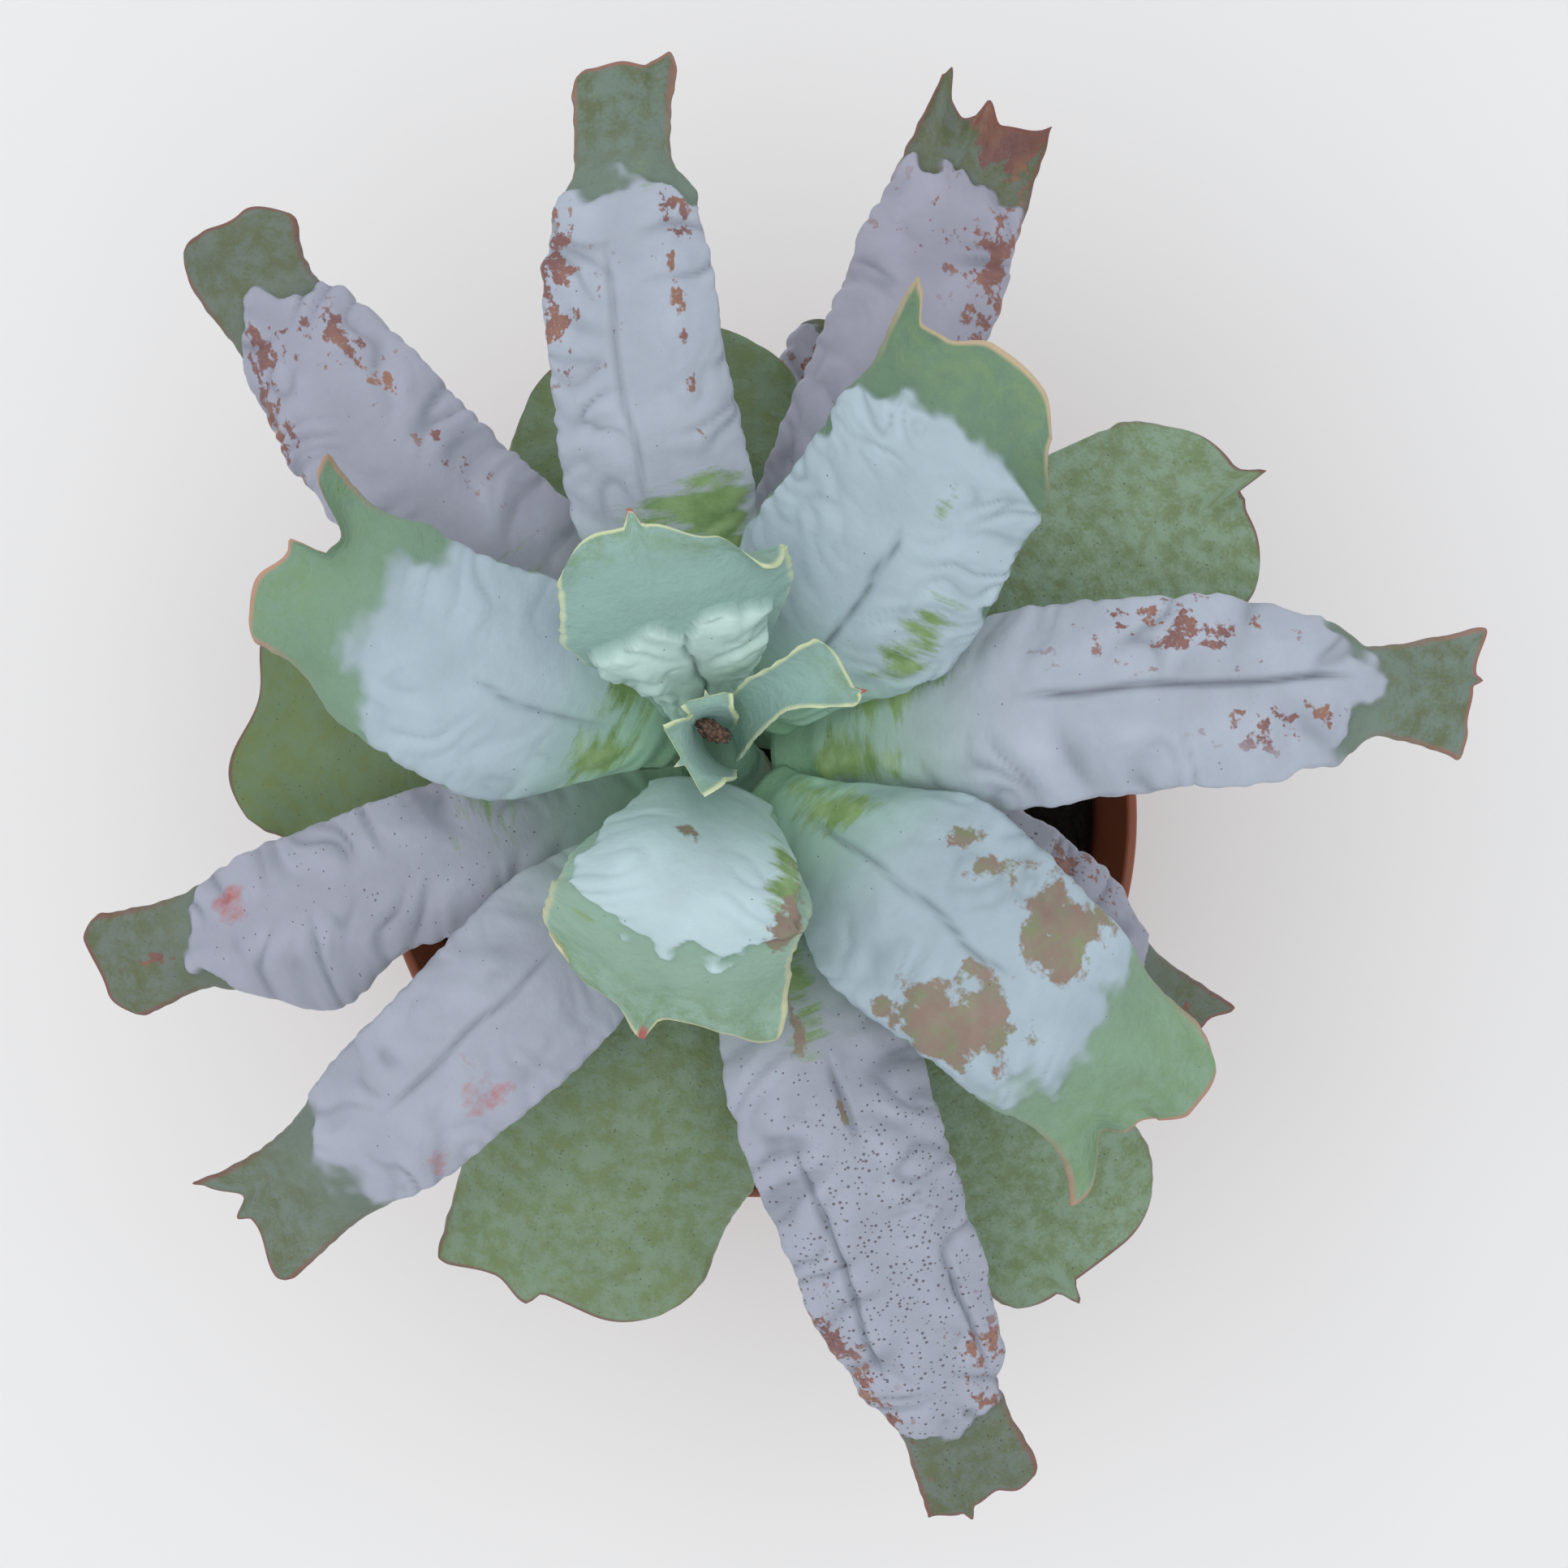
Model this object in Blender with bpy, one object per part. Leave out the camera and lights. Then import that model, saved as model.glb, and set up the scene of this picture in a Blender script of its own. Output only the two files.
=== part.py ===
"""A potted caruncled echeveria: a leaning rosette of thick leaves in a round plastic nursery pot.

Metres, +Z up. The origin is the middle of the pot's underside. Leaves are set out around the stem by
their compass direction in degrees, anticlockwise from +X, and their sizes are in millimetres.
"""

import math

import bmesh
import bpy
from mathutils import Vector

MM = 0.001
GAP = 0.3  # between pieces that touch

# The pot
RIM_DIAMETER = 120.0
POT_HEIGHT = 105.0
BASE_DIAMETER = 86.0
WALL = 1.5
FLOOR = 2.5
LIP_WIDTH = 1.7
LIP_HEIGHT = 3.0
COLLAR_HEIGHT = 20.0
COLLAR_STEP = 1.2
FOOT_RECESS = 1.2
FOOT_RING = 5.0
PAD_DIAMETER = 24.0
DRAIN_DIAMETER = 8.0
DRAIN_COUNT = 6
POT_SIDES = 48  # the soil has as many, so that its flats lie along the pot's
DRAIN_SIDES = 16
EDGE_ROUND = 0.6

# The soil and the stem
HEADSPACE = 20.0
SOCKET_DEPTH = 22.0
SOIL_EDGE = 1.5
SOIL_MOUND = 1.0
STEM_FOOT_DIAMETER = 14.0
STEM_TOP_DIAMETER = 7.0
STEM_HEIGHT = 90.0  # from the soil to the growing point
STEM_STOP = 5.5  # the woody stem ends this far under the growing point, beneath the heart leaves
LEAN_X = -5.0
LEAN_Y = 11.5
STEM_SIDES = 20
STEM_LEVELS = 6

# The leaves, in shares of a leaf's length where no unit is meant
TIERS = 70  # steps between the growing point and the rim, on which the leaves are set out
FIRST_LEAF = 6.5
LEAF_STEP = 3.1
HEART_LOW = 4
DRIED_LOW = 31
BLADE_ACROSS = 6
BLADE_ALONG = 12
MARGIN_THICKNESS = 1.4
TIP_CROWDING = 1.35
BASE_SWELL = 0.15  # how far past zero the leaf's thickness already is where it leaves the stem
BELLY_TAPER = 0.92
NECK_AT = 0.86
FLARE_AT = 0.96
OLD_ROLL = 24  # degrees that an old leaf's margins turn down, flatter than a young one's
HEART_RADIUS = 1.6  # the ring that the youngest leaves grow from, on top of the stem

RIM_RADIUS = RIM_DIAMETER / 2
BASE_RADIUS = BASE_DIAMETER / 2
SOIL_TOP = POT_HEIGHT - HEADSPACE
CROWN = SOIL_TOP + STEM_HEIGHT


def clear_scene():
    for old in list(bpy.data.objects):
        bpy.data.objects.remove(old, do_unlink=True)


def finish(name, colour, roughness):
    material = bpy.data.materials.new(name)
    material.use_nodes = True
    shader = material.node_tree.nodes["Principled BSDF"]
    shader.inputs["Base Color"].default_value = (*colour, 1.0)
    shader.inputs["Roughness"].default_value = roughness
    return material


def add_piece(name, bm, material):
    bmesh.ops.recalc_face_normals(bm, faces=bm.faces)
    if bm.calc_volume(signed=True) < 0:
        bmesh.ops.reverse_faces(bm, faces=bm.faces)
    mesh = bpy.data.meshes.new(name)
    bm.to_mesh(mesh)
    bm.free()
    mesh.materials.append(material)
    mesh.shade_smooth()
    mesh.set_sharp_from_angle(angle=math.radians(40))
    piece = bpy.data.objects.new(name, mesh)
    bpy.context.scene.collection.objects.link(piece)
    return piece


def turned(profile, sides):
    """A closed body turned from (radius, height) pairs in millimetres, both ends on the axis."""
    bm = bmesh.new()
    verts = [bm.verts.new((r * MM, 0, z * MM)) for r, z in profile]
    edges = [bm.edges.new(pair) for pair in zip(verts, verts[1:])]
    bmesh.ops.spin(bm, geom=verts + edges, cent=(0, 0, 0), axis=(0, 0, 1), angle=math.tau,
                   steps=sides, use_merge=True)
    bmesh.ops.remove_doubles(bm, verts=bm.verts, dist=1e-6)
    return bm


def inner_radius(z):
    """Inside radius of the pot's tapered wall at height z."""
    share = (z - FLOOR) / (POT_HEIGHT - FLOOR)
    return (BASE_RADIUS - WALL) + share * (RIM_RADIUS - LIP_WIDTH - BASE_RADIUS + WALL)


def make_pot():
    collar = POT_HEIGHT - COLLAR_HEIGHT
    profile = [
        (0, 0), (PAD_DIAMETER / 2, 0), (PAD_DIAMETER / 2 + 1, FOOT_RECESS),
        (BASE_RADIUS - FOOT_RING - 1, FOOT_RECESS), (BASE_RADIUS - FOOT_RING, 0),
        (BASE_RADIUS - 1, 0), (BASE_RADIUS, 1),
        (inner_radius(collar) + WALL - COLLAR_STEP, collar),
        (inner_radius(collar) + WALL, collar + 1),
        (RIM_RADIUS - EDGE_ROUND, POT_HEIGHT - LIP_HEIGHT),
        (RIM_RADIUS, POT_HEIGHT - LIP_HEIGHT + EDGE_ROUND),
        (RIM_RADIUS, POT_HEIGHT - EDGE_ROUND), (RIM_RADIUS - EDGE_ROUND, POT_HEIGHT),
        (RIM_RADIUS - LIP_WIDTH, POT_HEIGHT - EDGE_ROUND), (inner_radius(FLOOR), FLOOR), (0, FLOOR),
    ]
    plastic = finish("terracotta_plastic", (0.3, 0.085, 0.04), 0.5)
    pot = add_piece("pot", turned(profile, POT_SIDES), plastic)
    cutter = bmesh.new()
    ring = (PAD_DIAMETER / 2 + BASE_RADIUS - FOOT_RING) / 2
    for n in range(DRAIN_COUNT):
        angle = math.tau * (n + 0.5) / DRAIN_COUNT
        made = bmesh.ops.create_cone(cutter, cap_ends=True, segments=DRAIN_SIDES, depth=4 * FLOOR * MM,
                                     radius1=DRAIN_DIAMETER / 2 * MM, radius2=DRAIN_DIAMETER / 2 * MM)
        bmesh.ops.translate(cutter, verts=made["verts"],
                            vec=(ring * math.cos(angle) * MM, ring * math.sin(angle) * MM, 0))
    drains = add_piece("drain_cutter", cutter, plastic)
    drains.hide_render = True
    drains.display_type = "WIRE"
    cut = pot.modifiers.new("drains", "BOOLEAN")
    cut.operation = "DIFFERENCE"
    cut.object = drains


def stem_radius(z):
    """Radius of the stem at height z; below the soil it keeps its foot size."""
    share = min(max((z - SOIL_TOP) / STEM_HEIGHT, 0), 1)
    return (STEM_FOOT_DIAMETER + share * (STEM_TOP_DIAMETER - STEM_FOOT_DIAMETER)) / 2


def stem_axis(z):
    share = max((z - SOIL_TOP) / STEM_HEIGHT, 0)
    return Vector((LEAN_X * share, LEAN_Y * share, z))


def make_soil():
    top = inner_radius(SOIL_TOP - SOIL_EDGE) - GAP
    socket = STEM_FOOT_DIAMETER / 2 + GAP
    profile = [
        (0, FLOOR + GAP), (inner_radius(FLOOR) - GAP, FLOOR + GAP), (top, SOIL_TOP - SOIL_EDGE),
        (top - SOIL_EDGE, SOIL_TOP), ((top + socket) / 2, SOIL_TOP + SOIL_MOUND),
        (socket + SOIL_EDGE, SOIL_TOP), (socket, SOIL_TOP - SOIL_EDGE),
        (socket, SOIL_TOP - SOCKET_DEPTH), (0, SOIL_TOP - SOCKET_DEPTH),
    ]
    add_piece("soil", turned(profile, POT_SIDES), finish("peat", (0.03, 0.02, 0.015), 0.95))


def make_stem():
    """A round stem, straight where it stands in the soil and leaning above it."""
    foot = SOIL_TOP - SOCKET_DEPTH + GAP
    step = (STEM_HEIGHT - STEM_STOP) / STEM_LEVELS
    levels = [foot] + [SOIL_TOP + step * n for n in range(STEM_LEVELS + 1)]
    bm = bmesh.new()
    rings = []
    for z in levels:
        made = bmesh.ops.create_circle(bm, cap_ends=z in (levels[0], levels[-1]), segments=STEM_SIDES,
                                       radius=stem_radius(z) * MM)
        bmesh.ops.translate(bm, verts=made["verts"], vec=stem_axis(z) * MM)
        rings.append(made["verts"])
    for low, high in zip(rings, rings[1:]):
        for n in range(STEM_SIDES):
            m = (n + 1) % STEM_SIDES
            bm.faces.new((low[n], low[m], high[m], high[n]))
    add_piece("stem", bm, finish("stem_bark", (0.2, 0.15, 0.09), 0.8))


def eased(stations, v):
    """Value at v of a smooth line that levels off at each (place, value) station."""
    for (a, low), (b, high) in zip(stations, stations[1:]):
        if v <= b:
            return low + (high - low) * (1 - math.cos(math.pi * (v - a) / (b - a))) / 2
    return stations[-1][1]


def blade_width(leaf, v):
    """Full width along the leaf: narrow base, long even belly, neck, flared and blunt end."""
    belly = leaf["belly"]
    stations = [(0, leaf["base"]), (leaf["full_at"], belly), (leaf["full_to"], belly * BELLY_TAPER)]
    if leaf["neck"]:
        stations += [(NECK_AT, leaf["neck"]), (FLARE_AT, leaf["flare"])]
        return eased(stations + [(1, leaf["flare"] * leaf["blunt"])], v)
    return eased(stations + [(1, belly * leaf["blunt"])], v)


def midrib(leaf, v):
    """Centreline of the leaf: out along its direction, up to its crest and over to its tip."""
    tier = (CROWN - POT_HEIGHT) / TIERS
    base = stem_axis(CROWN - leaf["low"] * tier)
    turn = math.radians(leaf["azimuth"])
    out = Vector((math.cos(turn), math.sin(turn), 0))
    side = Vector((-out.y, out.x, 0))
    root = stem_radius(base.z) if base.z < CROWN - STEM_STOP else HEART_RADIUS
    start = root + GAP + leaf["thick"] / 2
    crest = leaf["crest_at"]
    if v < crest:
        height = leaf["rise"] * math.sin(math.pi / 2 * v / crest)
    else:
        over = math.cos(math.pi / 2 * (v - crest) / (1 - crest))
        height = leaf["tip"] + (leaf["rise"] - leaf["tip"]) * over
    bow = leaf["bow"] * math.sin(math.pi * v)
    run = start + (leaf["reach"] - start) * v
    return base + out * run + side * bow + Vector((0, 0, height * tier))


def blade_point(leaf, u, v, face):
    """Point at u across (-1 to 1), v along (0 to 1), on the upper (1) or under (-1) face."""
    step = 0.01  # share of the leaf's length over which its slope is read
    here = midrib(leaf, v)
    along = (midrib(leaf, min(v + step, 1)) - midrib(leaf, max(v - step, 0))).normalized()
    turn = math.radians(leaf["azimuth"])
    side = Vector((-math.sin(turn), math.cos(turn), 0))
    normal = along.cross(side).normalized()
    roll = math.radians(leaf["roll"])
    radius = blade_width(leaf, v) / 2 / math.sin(abs(roll))
    across = radius * math.sin(u * abs(roll))
    sag = math.copysign(radius * (1 - math.cos(u * roll)), roll)
    swell = (1 - u * u) * math.sin(math.pi * min(v + BASE_SWELL, 1))
    body = MARGIN_THICKNESS + (leaf["thick"] - MARGIN_THICKNESS) * swell
    return here + side * across - normal * sag + normal * (face * body / 2)


def make_leaf(name, azimuth, low, reach, rise, tip, belly, neck=0, flare=0, full_at=0.35, full_to=0.65,
              blunt=0.75, base=8, crest_at=0.5, bow=0, roll=35, thick=4.0, material=None):
    """One leaf: low is how many tiers its base is under the growing point; rise and tip are tiers too."""
    leaf = dict(azimuth=azimuth, low=low, reach=reach, rise=rise, tip=tip, belly=belly, neck=neck,
                flare=flare, full_at=full_at, full_to=full_to, blunt=blunt, base=base,
                crest_at=crest_at, bow=bow, roll=roll, thick=thick)
    bm = bmesh.new()
    bmesh.ops.create_grid(bm, x_segments=BLADE_ACROSS, y_segments=BLADE_ALONG, size=1)
    lifted = bmesh.ops.extrude_face_region(bm, geom=list(bm.faces), use_keep_orig=True)
    upper = {v for v in lifted["geom"] if isinstance(v, bmesh.types.BMVert)}
    for vert in bm.verts:
        v = 1 - (1 - (vert.co.y + 1) / 2) ** TIP_CROWDING
        vert.co = blade_point(leaf, vert.co.x, v, 1 if vert in upper else -1) * MM
    add_piece(name, bm, material)


def make_leaves():
    """The rosette, from the innermost leaf down; each leaf grows one even step below the last."""
    young = dict(material=finish("young_leaf", (0.42, 0.55, 0.52), 0.6))
    lilac = dict(material=finish("caruncled_leaf", (0.33, 0.38, 0.42), 0.6))
    old = dict(material=finish("old_leaf", (0.16, 0.26, 0.14), 0.55), roll=OLD_ROLL)
    broad = dict(old, full_at=0.65, full_to=0.85)
    rosette = [
        dict(young, name="leaf_n_inner", azimuth=107, reach=31, rise=28, tip=28, belly=32,
             full_at=0.6, full_to=0.8, blunt=0.5, crest_at=0.95, roll=25),
        dict(young, name="leaf_s_inner", azimuth=258, reach=39, rise=22, tip=5, belly=34, neck=32,
             flare=35, base=10, roll=30),
        dict(lilac, name="leaf_w", azimuth=155, reach=68, rise=15, tip=15, belly=32, neck=25, flare=25,
             base=9, crest_at=0.7, bow=5),
        dict(lilac, name="leaf_ne", azimuth=56, reach=65, rise=25, tip=25, belly=38, neck=36, flare=36,
             blunt=0.6, base=9, crest_at=0.95),
        dict(lilac, name="leaf_se", azimuth=320, reach=82, rise=15, tip=5, belly=32, neck=26, flare=30,
             base=6, bow=2),
        dict(lilac, name="leaf_e", azimuth=5, reach=107, rise=15, tip=10, belly=28, neck=13, flare=20,
             base=7, crest_at=0.6, bow=4),
        dict(lilac, name="leaf_n", azimuth=99, reach=101, rise=15, tip=10, belly=26, neck=14, flare=14,
             bow=4),
        dict(lilac, name="leaf_sw", azimuth=224, reach=100, rise=12, tip=2, belly=26, neck=17, flare=20,
             bow=3),
        dict(lilac, name="leaf_s", azimuth=289, reach=116, rise=12, tip=-12, belly=28, neck=17, flare=16,
             crest_at=0.45, bow=-2),
        dict(lilac, name="leaf_nw", azimuth=134, reach=111, rise=10, tip=-5, belly=26, neck=13, flare=19,
             bow=4),
        dict(lilac, name="leaf_wsw", azimuth=197.5, reach=99, rise=8, tip=-4, belly=22, neck=14, flare=17,
             crest_at=0.45, bow=-1),
        dict(lilac, name="leaf_nne", azimuth=69, reach=106, rise=10, tip=-4, belly=24, neck=20, flare=16),
        dict(lilac, name="leaf_ese", azimuth=330, reach=80, rise=6, tip=-6, belly=24, neck=13, flare=13),
        dict(broad, name="leaf_ene_low", azimuth=30, reach=88, rise=8, tip=0, belly=34, bow=3),
        dict(broad, name="leaf_ssw_low", azimuth=250, reach=85, rise=5, tip=-12, belly=46, crest_at=0.4),
        dict(broad, name="leaf_w_low", azimuth=173, reach=78, rise=5, tip=-8, belly=38, crest_at=0.4),
        dict(broad, name="leaf_n_low", azimuth=104, reach=72, rise=7, tip=0, belly=50),
        dict(broad, name="leaf_sse_low", azimuth=307, reach=92, rise=6, tip=-6, belly=36),
        dict(old, name="leaf_nne_low", azimuth=79, reach=75, rise=3, tip=-1, belly=18, thick=3),
    ]
    for order, leaf in enumerate(rosette):
        make_leaf(low=FIRST_LEAF + order * LEAF_STEP, **leaf)


def make_heart():
    """The youngest leaves, cupped over the growing point, and one dried leaf left on the stem."""
    heart = dict(material=finish("heart_leaf", (0.45, 0.6, 0.55), 0.6), low=HEART_LOW, base=2.5,
                 crest_at=0.9, roll=-40, thick=1.8)
    make_leaf("heart_west", azimuth=210, reach=8, rise=15, tip=14, belly=10, **heart)
    make_leaf("heart_east", azimuth=28, reach=20, rise=18, tip=17, belly=13, bow=-3, **heart)
    make_leaf("heart_north", azimuth=104, reach=6.5, rise=13, tip=12, belly=6, **heart)
    make_leaf("dried_leaf", azimuth=117, low=DRIED_LOW, reach=38, rise=7, tip=7, belly=8, base=5,
              full_at=0.7, full_to=0.85, crest_at=0.9, roll=-20, thick=1.4,
              material=finish("dried_leaf", (0.45, 0.33, 0.22), 0.85))


def main():
    clear_scene()
    make_pot()
    make_soil()
    make_stem()
    make_leaves()
    make_heart()


main()
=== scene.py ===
import math
import random

import bmesh
import bpy
from mathutils import Euler, Matrix, Vector, noise


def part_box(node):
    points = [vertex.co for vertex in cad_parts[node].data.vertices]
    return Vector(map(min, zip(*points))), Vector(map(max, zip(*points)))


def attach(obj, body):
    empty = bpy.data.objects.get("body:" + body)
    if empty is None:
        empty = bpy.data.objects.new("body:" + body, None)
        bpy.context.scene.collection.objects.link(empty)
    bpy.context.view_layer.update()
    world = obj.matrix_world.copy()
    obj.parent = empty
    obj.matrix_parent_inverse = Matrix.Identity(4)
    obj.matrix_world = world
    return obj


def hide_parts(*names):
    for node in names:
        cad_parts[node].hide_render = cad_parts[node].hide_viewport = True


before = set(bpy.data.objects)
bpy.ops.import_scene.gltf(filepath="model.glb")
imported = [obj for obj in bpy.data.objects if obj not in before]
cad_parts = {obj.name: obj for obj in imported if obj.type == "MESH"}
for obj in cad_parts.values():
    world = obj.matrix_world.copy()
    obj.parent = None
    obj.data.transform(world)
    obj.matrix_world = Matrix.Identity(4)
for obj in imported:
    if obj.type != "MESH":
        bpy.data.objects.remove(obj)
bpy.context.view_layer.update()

# ---------------------------------------------------------------------------------------------
# The pot: a round nursery pot, injection moulded in terracotta-coloured polypropylene with a thin
# lip, a collar band and drain holes. It has been watered from above for a year or two, so its foot
# carries pale dried splashes and its inner wall is dark with peat.
MM = 0.001
WALL = 1.5
FLOOR = 2.5
LIP_WIDTH = 1.7
LIP_HEIGHT = 3.0
COLLAR_HEIGHT = 20.0
COLLAR_STEP = 1.2
FOOT_RECESS = 1.2
FOOT_RING = 5.0
FOOT_SLOPE = 0.7
FOOT_EASE = 0.8
EASE_DROP = 0.1
BASE_RADIUS = 43.0
BASE_ROUND = 1.0
PAD_RADIUS = 12.0
PAD_ROUND = 0.3
LIP_ROUND = 0.6
COLLAR_ROUND = 0.5
DRAIN_RADIUS = 4.0
DRAIN_COUNT = 6
SPLASH_HEIGHT = 60.0
POT_STEPS = 160

pot_low, pot_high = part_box("pot")
RIM_RADIUS = (pot_high.x - pot_low.x) / 2 / MM
POT_HEIGHT = pot_high.z / MM


def linear(code):
    """An sRGB hex colour as the linear colour that a shader reads."""
    values = [int(code[n:n + 2], 16) / 255 for n in (1, 3, 5)]
    return (*(c / 12.92 if c <= 0.04045 else ((c + 0.055) / 1.055) ** 2.4 for c in values), 1.0)


def add_node(tree, kind, feeds=None, stops=None, **settings):
    """A shader node with its settings, its inputs fed by sockets or values, and its ramp's stops."""
    made = tree.nodes.new("ShaderNode" + kind)
    for setting, value in settings.items():
        setattr(made, setting, value)
    for socket, value in (feeds or {}).items():
        if isinstance(value, bpy.types.NodeSocket):
            tree.links.new(value, made.inputs[socket])
        else:
            made.inputs[socket].default_value = value
    if stops:
        ramp = made.color_ramp
        while len(ramp.elements) < len(stops):
            ramp.elements.new(1.0)
        for element, (place, code) in zip(ramp.elements, stops):
            element.position = place
            element.color = linear(code)
    return made


def new_finish(name, roughness, ior=1.5):
    """A material with its shader's plain constants set, and the tree and shader to build on."""
    material = bpy.data.materials.new(name)
    material.use_nodes = True
    shader = material.node_tree.nodes["Principled BSDF"]
    shader.inputs["Roughness"].default_value = roughness
    shader.inputs["IOR"].default_value = ior
    return material, material.node_tree, shader


def mottled(tree, coords, scale, detail, stops):
    """Colours mixed by a noise, scale to a unit of the coordinates: the colour and the noise."""
    spots = add_node(tree, "TexNoise", {"Vector": coords, "Scale": scale, "Detail": detail}).outputs["Fac"]
    return add_node(tree, "ValToRGB", {"Fac": spots}, stops=stops).outputs["Color"], spots


def dress(shader, colour, relief=None, strength=0.0, depth=0.0):
    """Feeds a finish its colour and, where it is rough, a relief that is depth millimetres deep."""
    tree = shader.id_data
    tree.links.new(colour, shader.inputs["Base Color"])
    if depth:
        bump = add_node(tree, "Bump", {"Height": relief, "Strength": strength, "Distance": depth * MM})
        tree.links.new(bump.outputs["Normal"], shader.inputs["Normal"])


def add_object(name, data):
    """An object for a mesh, a light or a camera, put into the scene."""
    made = bpy.data.objects.new(name, data)
    bpy.context.scene.collection.objects.link(made)
    return made


def place_piece(name, bm, material, slot, *nodes):
    """Makes the finished mesh a piece that rides with the plant and stands for its CAD nodes."""
    bmesh.ops.recalc_face_normals(bm, faces=bm.faces)
    if bm.calc_volume(signed=True) < 0:
        bmesh.ops.reverse_faces(bm, faces=bm.faces)
    mesh = bpy.data.meshes.new(name)
    bm.to_mesh(mesh)
    bm.free()
    mesh.materials.append(material)
    mesh.shade_smooth()
    piece = add_object(name, mesh)
    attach(piece, "root")
    if nodes:
        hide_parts(*nodes)
    return piece


def turned(profile, steps):
    """A closed body turned from (radius, height) pairs in millimetres, both ends on the axis."""
    bm = bmesh.new()
    verts = [bm.verts.new((r * MM, 0, z * MM)) for r, z in profile]
    edges = [bm.edges.new(pair) for pair in zip(verts, verts[1:])]
    bmesh.ops.spin(bm, geom=verts + edges, cent=(0, 0, 0), axis=(0, 0, 1), angle=math.tau,
                   steps=steps, use_merge=True)
    bmesh.ops.remove_doubles(bm, verts=bm.verts, dist=1e-6)
    return bm


def inner_radius(z):
    """Inside radius of the pot's tapered wall at height z."""
    share = (z - FLOOR) / (POT_HEIGHT - FLOOR)
    return (BASE_RADIUS - WALL) + share * (RIM_RADIUS - LIP_WIDTH - BASE_RADIUS + WALL)


def rounded(centre, radius, start, end, points=5):
    """An arc of (radius, height) pairs about a centre, from one angle to another in degrees."""
    r, z = centre
    turns = [math.radians(start + (end - start) * n / (points - 1)) for n in range(points)]
    return [(r + radius * math.cos(a), z + radius * math.sin(a)) for a in turns]


def make_pot():
    collar = POT_HEIGHT - COLLAR_HEIGHT
    outer = inner_radius(collar) + WALL
    ring = BASE_RADIUS - FOOT_RING
    lip = RIM_RADIUS - LIP_ROUND
    under_lip = POT_HEIGHT - LIP_HEIGHT
    top = POT_HEIGHT - LIP_ROUND
    profile = [(0, 0), (PAD_RADIUS - PAD_ROUND, 0), (PAD_RADIUS + FOOT_SLOPE, FOOT_RECESS - EASE_DROP),
               (PAD_RADIUS + FOOT_SLOPE + FOOT_EASE, FOOT_RECESS),
               (ring - FOOT_SLOPE - FOOT_EASE, FOOT_RECESS),
               (ring - FOOT_SLOPE, FOOT_RECESS - EASE_DROP), (ring, 0)]
    profile += rounded((BASE_RADIUS - BASE_ROUND, BASE_ROUND), BASE_ROUND, -90, 0)
    profile += [(outer - COLLAR_STEP, collar - 0.2), (outer - COLLAR_STEP + 0.1, collar)]
    profile += rounded((outer - COLLAR_ROUND, collar + 2 * COLLAR_ROUND), COLLAR_ROUND, -70, 5)
    profile += [(lip, under_lip - EASE_DROP)]
    profile += rounded((lip, under_lip + LIP_ROUND), LIP_ROUND, -60, 0)
    profile += rounded((lip, top), LIP_ROUND, 0, 90)
    profile += rounded((RIM_RADIUS - LIP_WIDTH + LIP_ROUND, top), LIP_ROUND, 90, 180)
    profile += [(inner_radius(FLOOR + 1), FLOOR + 1), (inner_radius(FLOOR) - 1, FLOOR), (0, FLOOR)]
    pot = place_piece("nursery_pot", turned(profile, POT_STEPS), pot_plastic(), "pot_plastic", "pot")
    cutter = bmesh.new()
    holes_at = (PAD_RADIUS + ring) / 2
    for n in range(DRAIN_COUNT):
        angle = math.tau * (n + 0.5) / DRAIN_COUNT
        hole = bmesh.ops.create_cone(cutter, cap_ends=True, segments=40, depth=4 * FLOOR * MM,
                                     radius1=DRAIN_RADIUS * MM, radius2=DRAIN_RADIUS * MM)
        bmesh.ops.translate(cutter, verts=hole["verts"],
                            vec=(holes_at * math.cos(angle) * MM, holes_at * math.sin(angle) * MM, 0))
    cutter_mesh = bpy.data.meshes.new("drain_cutter")
    cutter.to_mesh(cutter_mesh)
    cutter.free()
    drains = add_object("drain_cutter", cutter_mesh)
    cut = pot.modifiers.new("drains", "BOOLEAN")
    cut.operation = "DIFFERENCE"
    cut.object = drains
    bpy.context.view_layer.update()
    seen = pot.evaluated_get(bpy.context.evaluated_depsgraph_get())
    pot.data = bpy.data.meshes.new_from_object(seen)
    pot.modifiers.clear()
    bpy.data.objects.remove(drains)
    pot.data.shade_smooth()
    pot.data.set_sharp_from_angle(angle=math.radians(40))


def pot_plastic():
    """Moulded polypropylene: a waxy satin skin with a fine spark-eroded grain and a dusty foot."""
    material, tree, shader = new_finish("moulded_polypropylene_terracotta", 0.45, 1.49)
    place = add_node(tree, "TexCoord").outputs["Object"]
    height = add_node(tree, "SeparateXYZ", {0: place}).outputs["Z"]
    body, _ = mottled(tree, place, 28, 4, [(0.3, "#8f4c35"), (0.55, "#9e573e"), (0.75, "#a86148")])
    splash = add_node(tree, "TexNoise", {"Vector": place, "Scale": 190, "Detail": 5, "Roughness": 0.7})
    low_down = add_node(tree, "MapRange", {"Value": height, "From Min": 0.0, "To Min": 0.42,
                                           "From Max": SPLASH_HEIGHT * MM, "To Max": 0.27})
    dusty = add_node(tree, "Math", {0: splash.outputs["Fac"], 1: low_down.outputs["Result"]},
                     operation="ADD")
    dust = add_node(tree, "MapRange", {"Value": dusty.outputs[0], "From Min": 0.9, "From Max": 1.02,
                                       "To Max": 0.55})
    dusted = add_node(tree, "Mix", {0: dust.outputs["Result"], 6: body,
                                    7: linear("#b59a86")}, data_type="RGBA")
    grain = add_node(tree, "TexNoise", {"Vector": place, "Scale": 2200, "Detail": 2})
    dress(shader, dusted.outputs[2], grain.outputs["Fac"], 0.25, 0.05)
    return material


make_pot()

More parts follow.
